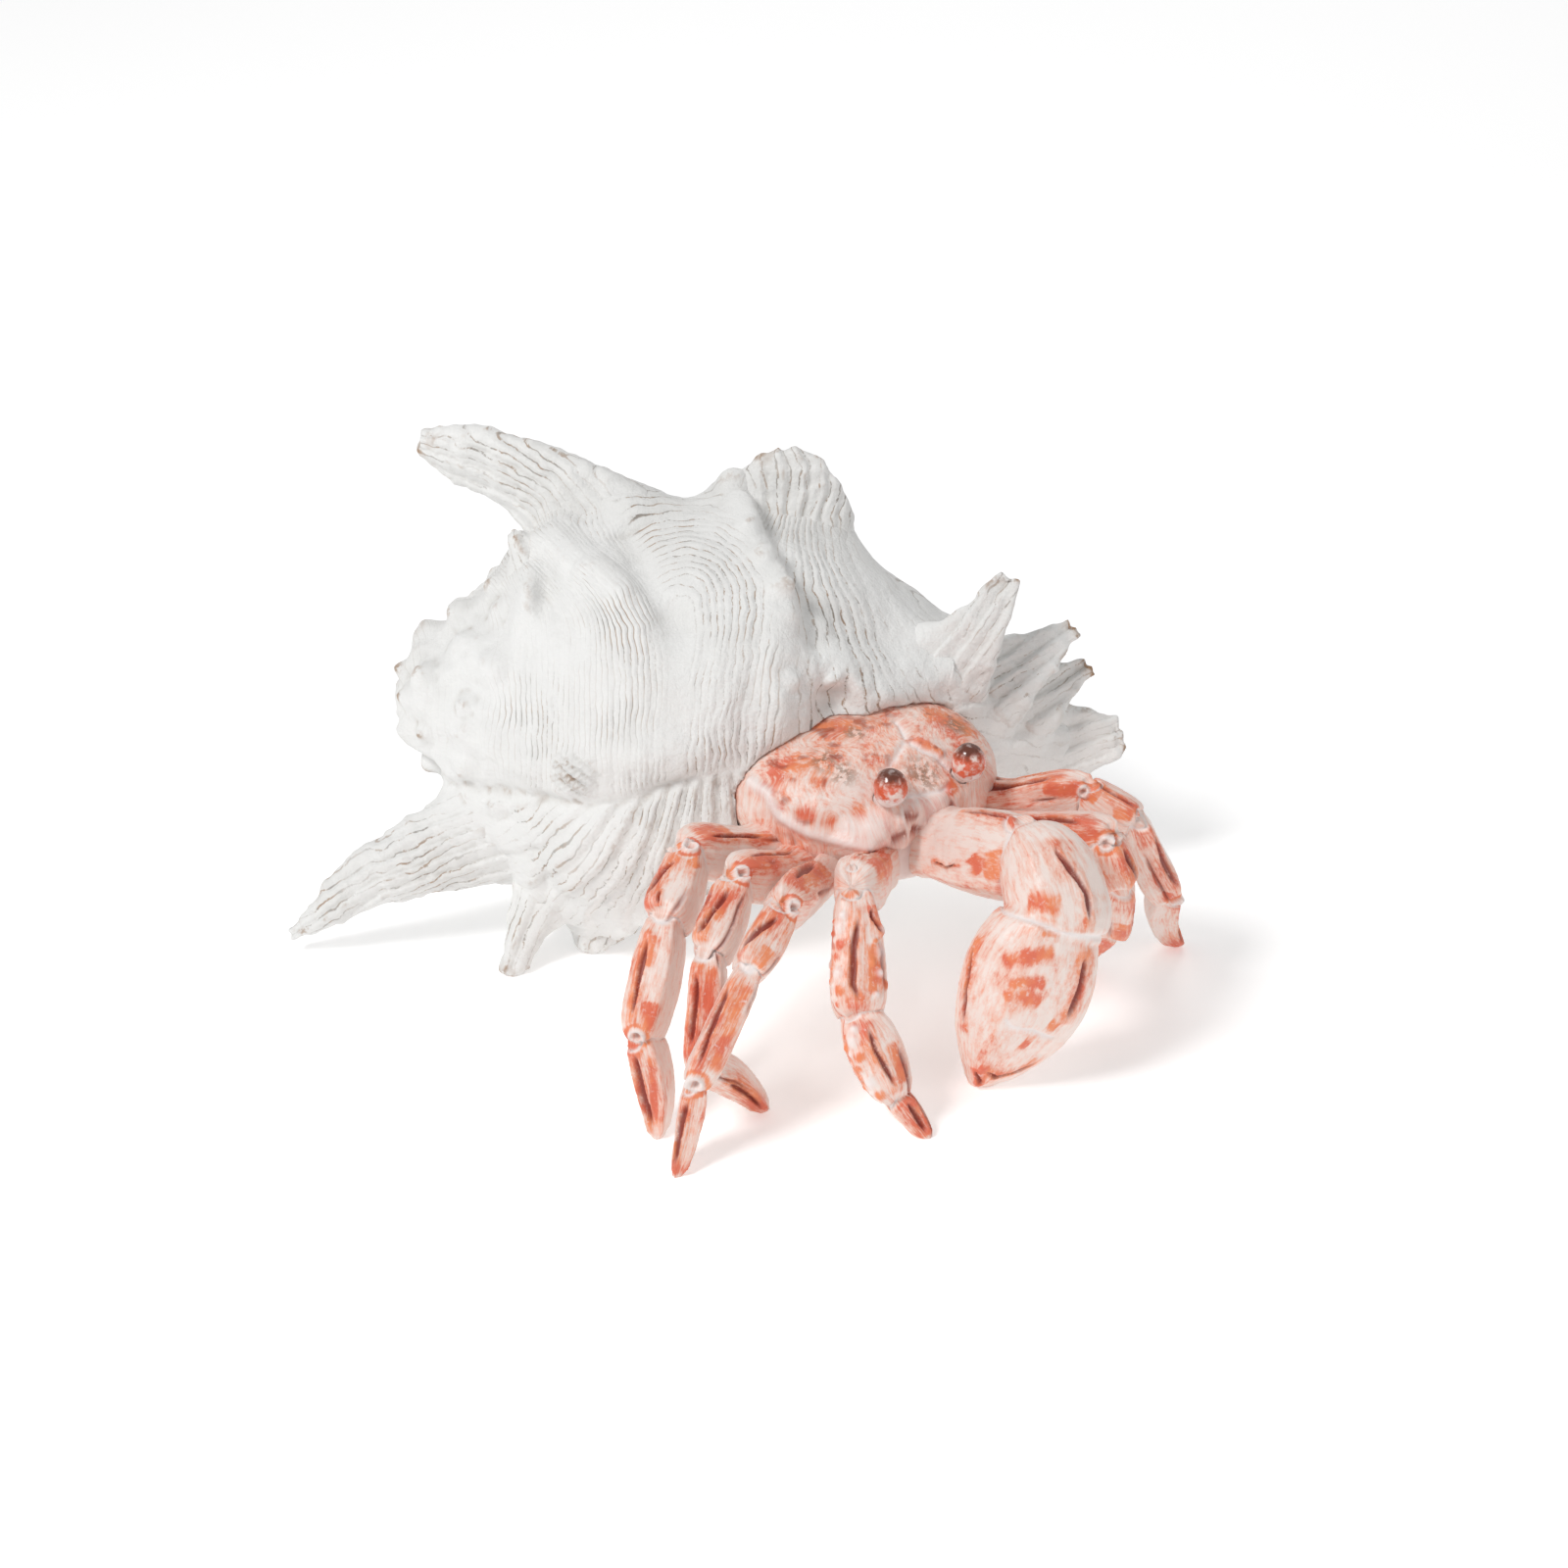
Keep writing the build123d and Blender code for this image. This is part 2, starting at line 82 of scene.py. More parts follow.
# Spacing of the points of each kind of casting
SHELL_VOXEL = 1.0
SPINE_VOXEL = 0.7
BODY_VOXEL = 0.7
LIMB_VOXEL = 0.5
EYE_VOXEL = 0.3

# How far from a joint two castings start to swell towards each other
SPINE_FILLET = 16
LIMB_FILLET = 8

# Share of the slow rise in a growth edge, and share of a line's length that fades at each end
LAMELLA_RISE = 0.78
LINE_FADE = 0.12


# Shapes of relief
def smoothstep(low, high, value):
    part = np.clip((value - low) / (high - low), 0, 1)
    return part * part * (3 - 2 * part)


def unit(vectors):
    length = np.linalg.norm(vectors, axis=-1, keepdims=True)
    return vectors / np.maximum(length, 1e-9)


def soft_above(value, softness):
    """Value where it is above 0, and 0 below, with a rounded corner."""
    return softness * np.logaddexp(0, value / softness)


def hashed(cells, seed):
    """Number from 0 to 1 for each cell of a grid, the same in every run."""
    n = cells[:, 0] * 374761393 + cells[:, 1] * 668265263 + cells[:, 2] * 1440662683 + seed * 1274126177
    n = (n ^ (n >> 13)) * 1103515245
    n = n ^ (n >> 16)
    return (n & 0xFFFFF) / 0xFFFFF


def lumps(points, size, seed):
    """Smooth noise from -1 to 1 with features of a size."""
    place = points / size
    cell = np.floor(place).astype(np.int64)
    part = place - cell
    part = part * part * (3 - 2 * part)
    total = np.zeros(len(points))
    for corner in np.ndindex(2, 2, 2):
        weight = np.prod(np.where(corner, part, 1 - part), axis=1)
        total += weight * hashed(cell + np.array(corner), seed)
    return 2 * total - 1


def grain(points, size, seed):
    """Noise of three sizes, each half the last."""
    total = lumps(points, size, seed)
    total += lumps(points, size / 2, seed + 1) / 2
    total += lumps(points, size / 4, seed + 2) / 4
    return total / 1.75


def bump_at(points, centre, radius):
    """Round swelling, 1 at its centre and 0 at its radius."""
    reach = np.sum((points - np.array(centre)) ** 2, axis=1) / radius ** 2
    return np.clip(1 - reach, 0, 1) ** 2


def length_starts(path):
    """Length along a bent line at each of its points, and the length of each of its pieces."""
    lengths = np.linalg.norm(np.diff(path, axis=0), axis=1)
    return np.concatenate([[0], np.cumsum(lengths)]), lengths


def near_path(points, path):
    """Distance to a bent line, the part of its length there, and the nearest point on it."""
    path = np.array(path, float)
    starts, lengths = length_starts(path)
    best = np.full(len(points), 1e9)
    part = np.zeros(len(points))
    nearest = np.zeros_like(points)
    for i, length in enumerate(lengths):
        way = (path[i + 1] - path[i]) / length
        reach = np.clip((points - path[i]) @ way, 0, length)
        foot = path[i] + reach[:, None] * way
        apart = np.linalg.norm(points - foot, axis=1)
        closer = apart < best
        best[closer] = apart[closer]
        part[closer] = (starts[i] + reach[closer]) / starts[-1]
        nearest[closer] = foot[closer]
    return best, part, nearest


def bell(value, middle, width):
    """Smooth hump over a value, 1 at its middle."""
    return np.exp(-((value - middle) / width) ** 2)


def ridge(points, path, width, fade):
    """Height of a rounded fold along a bent line, fading over a share of its length at both ends."""
    apart, part, _ = near_path(points, path)
    return bell(apart, 0, width) * smoothstep(0, fade, part) * smoothstep(0, fade, 1 - part)


def lamella(phase):
    """Overlapping growth edges: a slow rise and a quick fall."""
    part = phase - np.floor(phase)
    return np.where(part < LAMELLA_RISE, part / LAMELLA_RISE, (1 - part) / (1 - LAMELLA_RISE))


class Casting:
    """Fine mesh of one casting, with its points and facings in drawing millimetres."""

    def __init__(self, node, voxel, prepare=None):
        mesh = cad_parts[node].data.copy()
        shape = bmesh.new()
        shape.from_mesh(mesh)
        bmesh.ops.remove_doubles(shape, verts=shape.verts, dist=1e-6)
        if prepare:
            prepare(shape)
        shape.to_mesh(mesh)
        shape.free()
        self.object = bpy.data.objects.new(node + "_casting", mesh)
        bpy.context.scene.collection.objects.link(self.object)
        remesh = self.object.modifiers.new("fine", "REMESH")
        remesh.mode = "VOXEL"
        remesh.voxel_size = voxel * MM
        graph = bpy.context.evaluated_depsgraph_get()
        fine = bpy.data.meshes.new_from_object(self.object.evaluated_get(graph))
        self.object.modifiers.clear()
        self.object.data = fine
        fine.materials.clear()
        fine.polygons.foreach_set("use_smooth", np.ones(len(fine.polygons), bool))
        self.voxel = voxel
        self.edges = np.zeros(len(fine.edges) * 2, np.int32)
        fine.edges.foreach_get("vertices", self.edges)
        self.edges = self.edges.reshape(-1, 2)
        self.count = np.bincount(self.edges.ravel(), minlength=len(fine.vertices))
        flat = np.zeros(len(fine.vertices) * 3)
        fine.vertices.foreach_get("co", flat)
        self.points = flat.reshape(-1, 3) / MM - DRAWING_ORIGIN
        self.smooth(2)

    def around(self, values):
        """Mean of each point's neighbours."""
        first, second = self.edges.T
        total = np.bincount(first, values[second], len(values))
        total += np.bincount(second, values[first], len(values))
        return total / np.maximum(self.count, 1)

    def smooth(self, rounds, strength=0.5):
        for i in range(rounds):
            mean = np.stack([self.around(axis) for axis in self.points.T], axis=1)
            self.points += strength * (mean - self.points)
        self.store()

    def store(self):
        """Writes the points to the mesh, none below the ground, and takes the facings from it."""
        mesh = self.object.data
        self.points[:, 2] = np.maximum(self.points[:, 2], 0)
        flat = ((self.points + DRAWING_ORIGIN) * MM).astype(np.float32)
        mesh.vertices.foreach_set("co", flat.ravel())
        mesh.update()
        normals = np.zeros(len(mesh.vertices) * 3, np.float32)
        mesh.vertex_normals.foreach_get("vector", normals)
        self.facings = normals.reshape(-1, 3).astype(float)

    def raise_by(self, heights):
        """Moves each point along its facing, but leaves what stands on the ground."""
        self.points += self.facings * (heights * smoothstep(0, 3, self.points[:, 2]))[:, None]
        self.store()

    def sharpness(self, rounds=2):
        """How far each point stands out from its neighbours: above 0 on edges, below 0 in grooves."""
        mean = np.stack([self.around(axis) for axis in self.points.T], axis=1)
        out = np.sum((self.points - mean) * self.facings, axis=1) / self.voxel
        for i in range(rounds):
            out = 0.5 * out + 0.5 * self.around(out)
        return out

    def paint(self, **values):
        """Keeps numbers per point for the paint to use."""
        for name, numbers in values.items():
            layer = self.object.data.attributes.new(name, "FLOAT", "POINT")
            layer.data.foreach_set("value", np.asarray(numbers, np.float32))

    def finish(self, node, material):
        self.object.data.materials.append(material)
        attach(self.object, "root")
        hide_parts(node)


def cad_tree(*nodes):
    """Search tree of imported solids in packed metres."""
    points = []
    faces = []
    for node in nodes:
        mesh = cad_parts[node].data
        start = len(points)
        points += [v.co.copy() for v in mesh.vertices]
        faces += [[start + i for i in p.vertices] for p in mesh.polygons]
    return BVHTree.FromPolygons(points, faces)


def distance_to(tree, points, limit):
    """Distance of points to a search tree, up to a limit."""
    result = np.full(len(points), float(limit))
    for i, point in enumerate((points + DRAWING_ORIGIN) * MM):
        hit = tree.find_nearest(Vector(point), limit * MM)
        if hit[0] is not None:
            result[i] = hit[3] / MM
    return result


def root_fillet(casting, tree, blend):
    """Swells a casting where it meets another, as one flows into the other."""
    apart = distance_to(tree, casting.points, blend)
    return (blend - apart) ** 2 / (4 * blend)


def laid_on(tree, path, step=2.0):
    """Path with close points, each moved to the nearest point of a solid."""
    path = np.array(path, float)
    laid = []
    for start, end in zip(path, path[1:]):
        count = max(int(np.linalg.norm(end - start) / step), 1)
        laid += [start + (end - start) * i / count for i in range(count)]
    laid.append(path[-1])
    return np.array([laid_point(tree, point) for point in laid])


def laid_point(tree, point):
    """Point of a solid that is nearest to a place."""
    found = tree.find_nearest(Vector((np.array(point, float) + DRAWING_ORIGIN) * MM))[0]
    return np.array(found) / MM - DRAWING_ORIGIN


class Relief:
    """Shapes on the points of a casting, as they are before it is raised, and the look made from them:
    height, dark lines, white lines, coral patches and brown spots."""

    def __init__(self, casting, node):
        self.points = casting.points.copy()
        self.solid = cad_tree(node)
        self.height, self.dark, self.white, self.patch, self.brown = np.zeros((5, len(self.points)))

    def lumps(self, size, seed):
        return lumps(self.points, size, seed)

    def grain(self, size, seed):
        return grain(self.points, size, seed)

    def swell(self, place, radius):
        """Round swelling on the solid, nearest to a place."""
        return bump_at(self.points, laid_point(self.solid, place), radius)

    def fold(self, line, width, fade=LINE_FADE):
        """Rounded fold along a line that is laid on the solid."""
        return ridge(self.points, laid_on(self.solid, line), width, fade)

    def at_least(self, **paints):
        """Lifts kinds of paint to given amounts where they are less."""
        for name, amounts in paints.items():
            setattr(self, name, np.maximum(getattr(self, name), amounts))


# Camera, floor and light
def add_camera():
    data = bpy.data.cameras.new("photo_camera")
    data.sensor_width = CAMERA_SENSOR
    data.lens = CAMERA_LENS
    data.clip_end = 20
    camera = bpy.data.objects.new("photo_camera", data)
    tilt = math.radians(CAMERA_ELEVATION)
    target = np.array(CAMERA_TARGET) + DRAWING_ORIGIN
    camera.location = (target + CAMERA_DISTANCE * np.array([0, -math.cos(tilt), math.sin(tilt)])) * MM
    camera.rotation_euler = (math.radians(90) - tilt, 0, 0)
    bpy.context.scene.collection.objects.link(camera)
    bpy.context.scene.camera = camera


def add_floor():
    mesh = bpy.data.meshes.new("floor")
    corners = [(x * FLOOR_HALF, y * FLOOR_HALF, 0) for x, y in ((-1, -1), (1, -1), (1, 1), (-1, 1))]
    mesh.from_pydata(corners, [], [(0, 1, 2, 3)])
    floor = bpy.data.objects.new("floor", mesh)
    bpy.context.scene.collection.objects.link(floor)
    paint = Paint("floor_paper")
    paint.set("Base Color", FLOOR_GREY)
    paint.set("Roughness", 0.9)
    paint.set("Emission Color", STUDIO_WHITE)
    paint.set("Emission Strength", FLOOR_GLOW)
    mesh.materials.append(paint.material)


def add_light(name, place, size, watts):
    data = bpy.data.lights.new(name, "AREA")
    data.shape = "DISK"
    data.size = size
    data.energy = watts
    light = bpy.data.objects.new(name, data)
    light.location = place
    aim = Vector(LIGHT_TARGET) - Vector(place)
    light.rotation_euler = aim.to_track_quat("-Z", "Y").to_euler()
    bpy.context.scene.collection.objects.link(light)


def add_world():
    world = bpy.data.worlds.new("studio")
    world.use_nodes = True
    world.node_tree.nodes["Background"].inputs["Color"].default_value = STUDIO_WHITE
    world.node_tree.nodes["Background"].inputs["Strength"].default_value = WORLD_LIGHT
    bpy.context.scene.world = world
    bpy.context.scene.view_settings.view_transform = "Standard"


class Paint:
    """Material with short calls for its nodes."""

    def __init__(self, name):
        self.material = bpy.data.materials.new(name)
        self.material.use_nodes = True
        self.nodes = self.material.node_tree.nodes
        self.shader = self.nodes["Principled BSDF"]

    def link(self, value, socket):
        if isinstance(value, bpy.types.NodeSocket):
            self.material.node_tree.links.new(value, socket)
        else:
            socket.default_value = value

    def set(self, socket, value):
        self.link(value, self.shader.inputs[socket])

    def node(self, kind, output, inputs, **settings):
        """Output of a new node with its settings and inputs."""
        node = self.nodes.new("ShaderNode" + kind)
        for name, value in settings.items():
            setattr(node, name, value)
        for socket, value in inputs.items():
            self.link(value, node.inputs[socket])
        return node.outputs[output]

    def attribute(self, name):
        return self.node("Attribute", "Fac", {}, attribute_name=name)

    def place(self):
        return self.node("TexCoord", "Object", {})

    def vector(self, x, y, z):
        return self.node("CombineXYZ", 0, {0: x, 1: y, 2: z})

    def math(self, operation, first, second=0.0):
        return self.node("Math", 0, {0: first, 1: second}, operation=operation)

    def times(self, first, *others):
        for other in others:
            first = self.math("MULTIPLY", first, other)
        return first

    def plus(self, first, *others):
        for other in others:
            first = self.math("ADD", first, other)
        return first

    def swing(self, noise, size):
        """Noise moved to go as far below 0 as above it, times a size."""
        return self.times(self.math("SUBTRACT", noise, 0.5), size)

    def noise(self, vector, scale, detail=3.0, roughness=0.6):
        inputs = {"Vector": vector, "Scale": scale, "Detail": detail, "Roughness": roughness}
        return self.node("TexNoise", "Fac", inputs)

    def step(self, value, low, high):
        """Smooth step of a value between two bounds, to 0 to 1."""
        inputs = {"Value": value, "From Min": low, "From Max": high}
        return self.node("MapRange", "Result", inputs, interpolation_type="SMOOTHSTEP")

    def mix(self, share, first, second):
        return self.node("Mix", 2, {"Factor": share, 6: first, 7: second}, data_type="RGBA")

    def bump(self, height, strength, distance):
        inputs = {"Strength": strength, "Distance": distance, "Height": height}
        self.set("Normal", self.node("Bump", "Normal", inputs))


# Shell axis: x, centre y, centre z, mean radius
SHELL_AXIS = np.array([
    (-130, 26, 78, 6), (-121, 27, 78, 18), (-108, 28, 77, 31), (-90, 29, 77, 48), (-68, 30, 76, 67),
    (-45, 31, 76, 71), (-17, 32, 76, 68), (0, 34, 75, 64), (20, 37, 73, 57), (38, 39, 69, 48),
    (58, 43, 65, 38), (76, 48, 61, 30), (89, 51, 58, 20), (96, 52, 57, 9),
], float)

# Lines on the shell, as points near its surface
SHOULDER = [(-80, 30, 133), (-72, 19, 137), (-60, 1, 134), (-48, -11, 127)]
SHOULDER_CREASE = [(-57, 34, 143), (-51, 20, 144), (-46, 7, 140), (-41, -6, 133), (-34, -16, 126)]
ROOT_FOLD = [(-67, 50, 141), (-55, 34, 144), (-51, 22, 144)]
VARIX = [(-18, 54, 138), (-18, 40, 141), (-14, 28, 141), (-5, 2, 131), (-1, -12, 118), (2, -22, 101)]
CREST_CREASE = [(-8, 44, 142), (-4, 26, 140), (3, 8, 131), (9, -3, 120), (10, -12, 110)]
CREASE = [(-116, 11, 59), (-99, -9, 62), (-88, -19, 66), (-68, -33, 70), (-48, -37, 73), (-35, -38, 78),
          (-20, -37, 82)]
LIP_ROLL = [(14, -10, 109), (20, -11, 102), (30, -9, 97), (41, -2, 94), (52, 8, 92)]
# The crease drawn on to the mouth, and the valley in front of the bowl in x and y
CREASE_TO_MOUTH = [*CREASE, (20, -37, 84)]
VALLEY = [(-35, -16), (-41, -6), (-51, 20), (-60, 40)]

# Places on the shell
VARIX_KNOBS = [
    (-18, 46, 142), (-16, 33, 144), (-12, 20, 142), (-8, 9, 138), (-4, -2, 131), (-2, -11, 121),
    (1, -20, 108), (11, -1, 118), (16, -13, 103), (52, 11, 95),
]
DASHED_SPOTS = [
    (-90, -12, 96), (-49, -13, 127), (-97, -13, 78), (-62, -25, 106), (-60, -29, 92), (-45, -25, 104),
    (-2, -22, 110), (-116, 4, 84), (-113, 8, 95), (-66, -34, 56),
]
DASHED_RADIUS = 14
NUB = (-68, -32, 80)
NUB_RADIUS = 12
PIT = (-35, -15, 127)
PIT_RADIUS = 11
NOTCH = (17, -15, 98)
NOTCH_RADIUS = 11
BOWL_CENTRE = (-33, -5, 134)
BOWL_BACK = 55
CREST_TOP = (0, 46, 161)
# Middle of the ribs below the crease, in x and z
FAN_CENTRE = (-22, 120)
# Values of x between which the pointed end takes over, and how far back the mouth's rim reaches
SPIRE_START = (-86, -100)
LIP_REACH = 14

# Knobs round the pointed end: x, number, radius, height
SPIRE_KNOBS = [(-126, 5, 5.5, 3), (-118, 8, 6.5, 4.2), (-107, 11, 7, 4), (-95, 13, 7, 3)]
# Folds and creases that sharpen those of the casting: line, height, half width
SHELL_LINES = [(SHOULDER, 3.2, 5), (SHOULDER_CREASE, -2, 5), (ROOT_FOLD, 4, 7), (VARIX, 2.6, 4),
               (CREST_CREASE, -2.2, 4.5), (CREASE, -2, 2.6), (LIP_ROLL, 1.6, 5)]

SHELL_WHITE = (0.85, 0.848, 0.835, 1)
SHELL_SHADE = (0.66, 0.645, 0.615, 1)
SHELL_DIRT = (0.23, 0.195, 0.165, 1)
SHELL_WEAR = (0.36, 0.225, 0.135, 1)
SHELL_PINK = (0.84, 0.62, 0.55, 1)
CORD_SPACING = 2.8
# Noise features in a metre
SHELL_FINE = 900
SHELL_COARSE = 170
SHELL_BROAD = 28


def shell_paint():
    """Off-white matte paint with painted shade in its hollows and grooves, dark dashes along the growth
    lines and brown worn edges.
    """
    paint = Paint("shell_paint")
    place = paint.place()
    fine = paint.noise(place, SHELL_FINE, 4)
    coarse = paint.noise(place, SHELL_COARSE, 4)
    broad = paint.noise(place, SHELL_BROAD, 3)
    wobble = paint.plus(paint.times(paint.noise(place, 35), 9.0), paint.times(paint.noise(place, 160), 1.4))
    phase = paint.times(paint.plus(paint.attribute("cord"), wobble), 1 / CORD_SPACING)
    wave = paint.math("SINE", paint.times(phase, 2 * math.pi))
    groove = paint.step(wave, -0.72, -0.98)
    patchy = paint.step(paint.noise(place, 26, 3), 0.42, 0.64)
    gain = paint.times(paint.attribute("cord_gain"), paint.plus(paint.times(patchy, 0.85), 0.15))

    number = paint.math("FLOOR", paint.plus(phase, 0.25))
    run = paint.times(paint.attribute("cord_run"), 0.2)
    dashes = paint.noise(paint.vector(paint.times(number, 3.7), run, 0), 1.0, 4, 0.75)
    often = paint.plus(dashes, paint.times(broad, 0.4), paint.times(paint.attribute("dashed"), 0.26))
    flecks = paint.times(groove, paint.step(often, 0.69, 0.77), gain)
    wear = paint.times(paint.attribute("wear"), paint.step(coarse, 0.46, 0.6))

    colour = paint.mix(paint.times(paint.step(broad, 0.35, 0.75), 0.3), SHELL_WHITE, SHELL_SHADE)
    # Painted shade: the paint darkens the hollows towards the grey-beige shade colour
    colour = paint.mix(paint.times(paint.attribute("hollow"), 0.6), colour, SHELL_SHADE)
    # Painted shade: the grooves of the growth lines are darkened towards the grey-beige shade colour
    colour = paint.mix(paint.times(groove, gain, 0.3), colour, SHELL_SHADE)
    colour = paint.mix(paint.times(paint.attribute("pink"), 0.55), colour, SHELL_PINK)
    dirt = paint.mix(paint.step(coarse, 0.42, 0.56), SHELL_DIRT, SHELL_WEAR)
    colour = paint.mix(paint.times(flecks, 0.9), colour, dirt)
    colour = paint.mix(paint.times(wear, 0.8), colour, SHELL_WEAR)
    paint.set("Base Color", colour)
    paint.set("Roughness", 0.7)
    paint.set("Specular IOR Level", 0.3)
    height = paint.plus(paint.times(wave, gain, 0.38), paint.times(fine, 0.9), paint.times(coarse, 2.0))
    paint.bump(height, 0.75, 0.0006)
    return paint.material


# Spines as the castings have them: rows of x, y, z, width and thickness, and the way of the width
SPINES = {
    "upper_long_spine": (
        [(-48, 42, 118, 40, 22), (-62, 46, 132, 42, 20), (-78, 51, 144, 36, 16), (-98, 57, 151, 27, 12),
         (-113, 60, 155, 19, 9), (-122, 61, 157, 10, 6)], (0.3, -0.3, 1)),
    "lower_long_spine": (
        [(-76, 9, 52, 38, 24), (-95, 2, 44, 38, 21), (-118, -4, 36, 29, 16), (-136, -8, 29.5, 22, 12),
         (-153, -9, 17, 13, 9), (-166, -8, 7, 5, 4)], (-0.4, 0.2, 1)),
    "shoulder_spine": (
        [(-75, 28, 116, 14, 13), (-82.4, 24, 129, 13, 11), (-86, 22, 137, 8, 7), (-88.5, 20, 142.5, 4, 3)],
        (1, 0, 0.4)),
    "crest_frond": (
        [(0, 53, 120, 30, 18), (0.5, 49, 137, 42, 14), (0.8, 47, 147, 38, 10), (0, 46, 156, 26, 7),
         (-1, 45.5, 161, 11, 4)], (1, 0, -0.1)),
    "lip_frond_1": (
        [(48, 26, 82, 30, 14), (55, 17, 97, 29, 11), (62, 15, 107, 21, 8), (69, 18, 118, 14, 6),
         (74.5, 21, 126.5, 7, 4)], (-0.7, 0.2, 0.4)),
    "lip_frond_2": (
        [(58, 34, 76, 28, 14), (68, 26, 84, 27, 10), (79, 27, 91, 20, 8), (89, 31, 97, 13, 5.5),
         (97, 35, 101, 7, 4)], (-0.45, 0.35, 0.7)),
    "lip_frond_3": (
        [(63, 40, 64, 26, 13), (75, 32, 70, 25, 10), (86, 33, 76, 19, 8), (95, 36, 81, 13, 5.5),
         (103, 38, 85, 7, 4)], (-0.4, 0.35, 0.8)),
    "lip_frond_4": (
        [(64, 45, 48, 24, 14), (78, 38, 50, 28, 11), (92, 38, 53, 27, 8), (105, 38, 57, 22, 6),
         (115, 39, 60, 12, 4)], (-0.3, 0.3, 1)),
    "belly_spine_front": (
        [(-70, 5, 38, 26, 20), (-79, -7, 24, 22, 15), (-87, -16, 11, 14, 11), (-92, -22, -1, 8, 7)],
        (1, 0, 0.3)),
    "belly_spine_rear": (
        [(-56, 10, 36, 28, 20), (-60, 0, 20, 25, 15), (-63, -4, 9, 16, 11), (-65, -6, -1, 9, 8)],
        (1, 0, 0.1)),
    "rear_spine_left": (
        [(-56, 56, 36, 24, 18), (-60, 68, 21, 20, 15), (-62, 75, 10, 14, 11), (-63, 80, -1, 9, 8)],
        (1, 0, 0)),
    "rear_spine_right": (
        [(16, 58, 36, 24, 18), (18, 71, 21, 20, 15), (20, 80, 10, 14, 11), (21, 86, -1, 9, 8)],
        (1, 0, 0)),
}


def drop_sealed_space(shape):
    """Leaves out the closed space behind the wall inside the shell, which nobody can see."""
    axis_start = (FACE - NOSE * (FACE_TO_MOUTH + MOUTH_DEPTH) + DRAWING_ORIGIN) * MM
    walls = []
    for face in shape.faces:
        middle = np.array(face.calc_center_median()) - axis_start
        behind = -middle @ NOSE / MM
        off_axis = np.linalg.norm(middle + NOSE * behind * MM) / MM
        if 0 < behind < INNER_WALL and off_axis < PLUG_RADIUS + PLUG_HOLE_MARGIN:
            walls.append(face)
    bmesh.ops.delete(shape, geom=walls, context="FACES")
    shape.verts.ensure_lookup_table()
    outermost = max(shape.verts, key=lambda v: v.co.z)
    kept = {outermost}
    waiting = [outermost]
    while waiting:
        for edge in waiting.pop().link_edges:
            for vertex in edge.verts:
                if vertex not in kept:
                    kept.add(vertex)
                    waiting.append(vertex)
    bmesh.ops.delete(shape, geom=[v for v in shape.verts if v not in kept], context="VERTS")
    open_edges = [e for e in shape.edges if e.is_boundary]
    bmesh.ops.holes_fill(shape, edges=open_edges, sides=0)


def x_along(line, y):
    """x of a line over the shell, at values of y."""
    ordered = sorted(line, key=lambda point: point[1])
    return np.interp(y, [point[1] for point in ordered], [point[0] for point in ordered])


def shell_lines(points):
    """Growth lines of the shell: distance across them, length along them, how far round the fan they are,
    whether they are below the crease, and how strong they are."""
    x, y, z = points.T
    crease_x, _, crease_height = np.array(CREASE_TO_MOUTH).T
    from_crease = z - np.interp(x, crease_x, crease_height)
    from_valley = x - x_along(VALLEY, y)
    from_varix = x - x_along(VARIX, y)
    below = from_crease < 0
    on_hood = ~below & (from_varix > 0)
    on_bowl = ~below & ~on_hood & (from_valley > 0) & (y < BOWL_BACK)
    places = [below, on_hood, on_bowl]

    # Ribs spread from one middle below the crease and from another on the hood, arches stand round the
    # bowl, and plain rounds go over the rest
    fan = np.arctan2(x - FAN_CENTRE[0], FAN_CENTRE[1] - z)
    down = np.hypot(y - CREST_TOP[1], z - CREST_TOP[2])
    hood = np.arctan2(x - CREST_TOP[0], down + 10)
    aside = x - BOWL_CENTRE[0] + 0.1 * (BOWL_CENTRE[2] - z)
    above = soft_above(z - BOWL_CENTRE[2] + 0.5 * (y - BOWL_CENTRE[1]) + 4, 4)
    from_bowl = np.hypot(aside, above)
    climb = soft_above(z - 127 + 0.3 * (y + 11), 3)
    cord = np.select(places, [70 * fan, 62 * hood, 1.15 * from_bowl], 1.5 * (x + 1.1 * climb))
    from_fan = np.hypot(x - FAN_CENTRE[0], z - FAN_CENTRE[1])
    round_bowl = 25 * np.arctan2(above, np.abs(aside)) + np.minimum(z, BOWL_CENTRE[2])
    run = np.select(places, [from_fan, down, round_bowl], z - 0.8 * y)

    # The lines fade out where two of these fields meet
    border = np.minimum(np.abs(from_varix), np.where(y < BOWL_BACK + 6, np.abs(from_valley), 9))
    border = np.minimum(border, np.where((from_valley > 0) & ~on_hood, np.abs(y - BOWL_BACK), 9))
    clear = smoothstep(0.5, 5, np.abs(from_crease)) * np.where(below, 1, smoothstep(0.5, 6, border))
    clear *= np.where(on_bowl, smoothstep(2, 7, from_bowl), 1)
    return cord, run, fan, below.astype(float), clear


def shell_axis(x):
    """Centre y, centre z and mean radius of the shell, at values of x."""
    return [np.interp(x, SHELL_AXIS[:, 0], SHELL_AXIS[:, i]) for i in (1, 2, 3)]


def shell_outside(points, facings):
    """1 on the outer side of the shell, and 0 inside its mouth."""
    x, y, z = points.T
    axis_y, axis_z, radius = shell_axis(x)
    spoke = np.stack([np.zeros_like(x), y - axis_y, z - axis_z], axis=1)
    faces_out = np.sum(facings * unit(spoke), axis=1)
    ends = np.maximum(smoothstep(-100, -118, x), smoothstep(78, 90, x))
    far_out = smoothstep(0.72, 0.8, np.linalg.norm(spoke, axis=1) / radius + ends)
    return np.maximum(smoothstep(-0.1, 0.25, faces_out), ends) * far_out


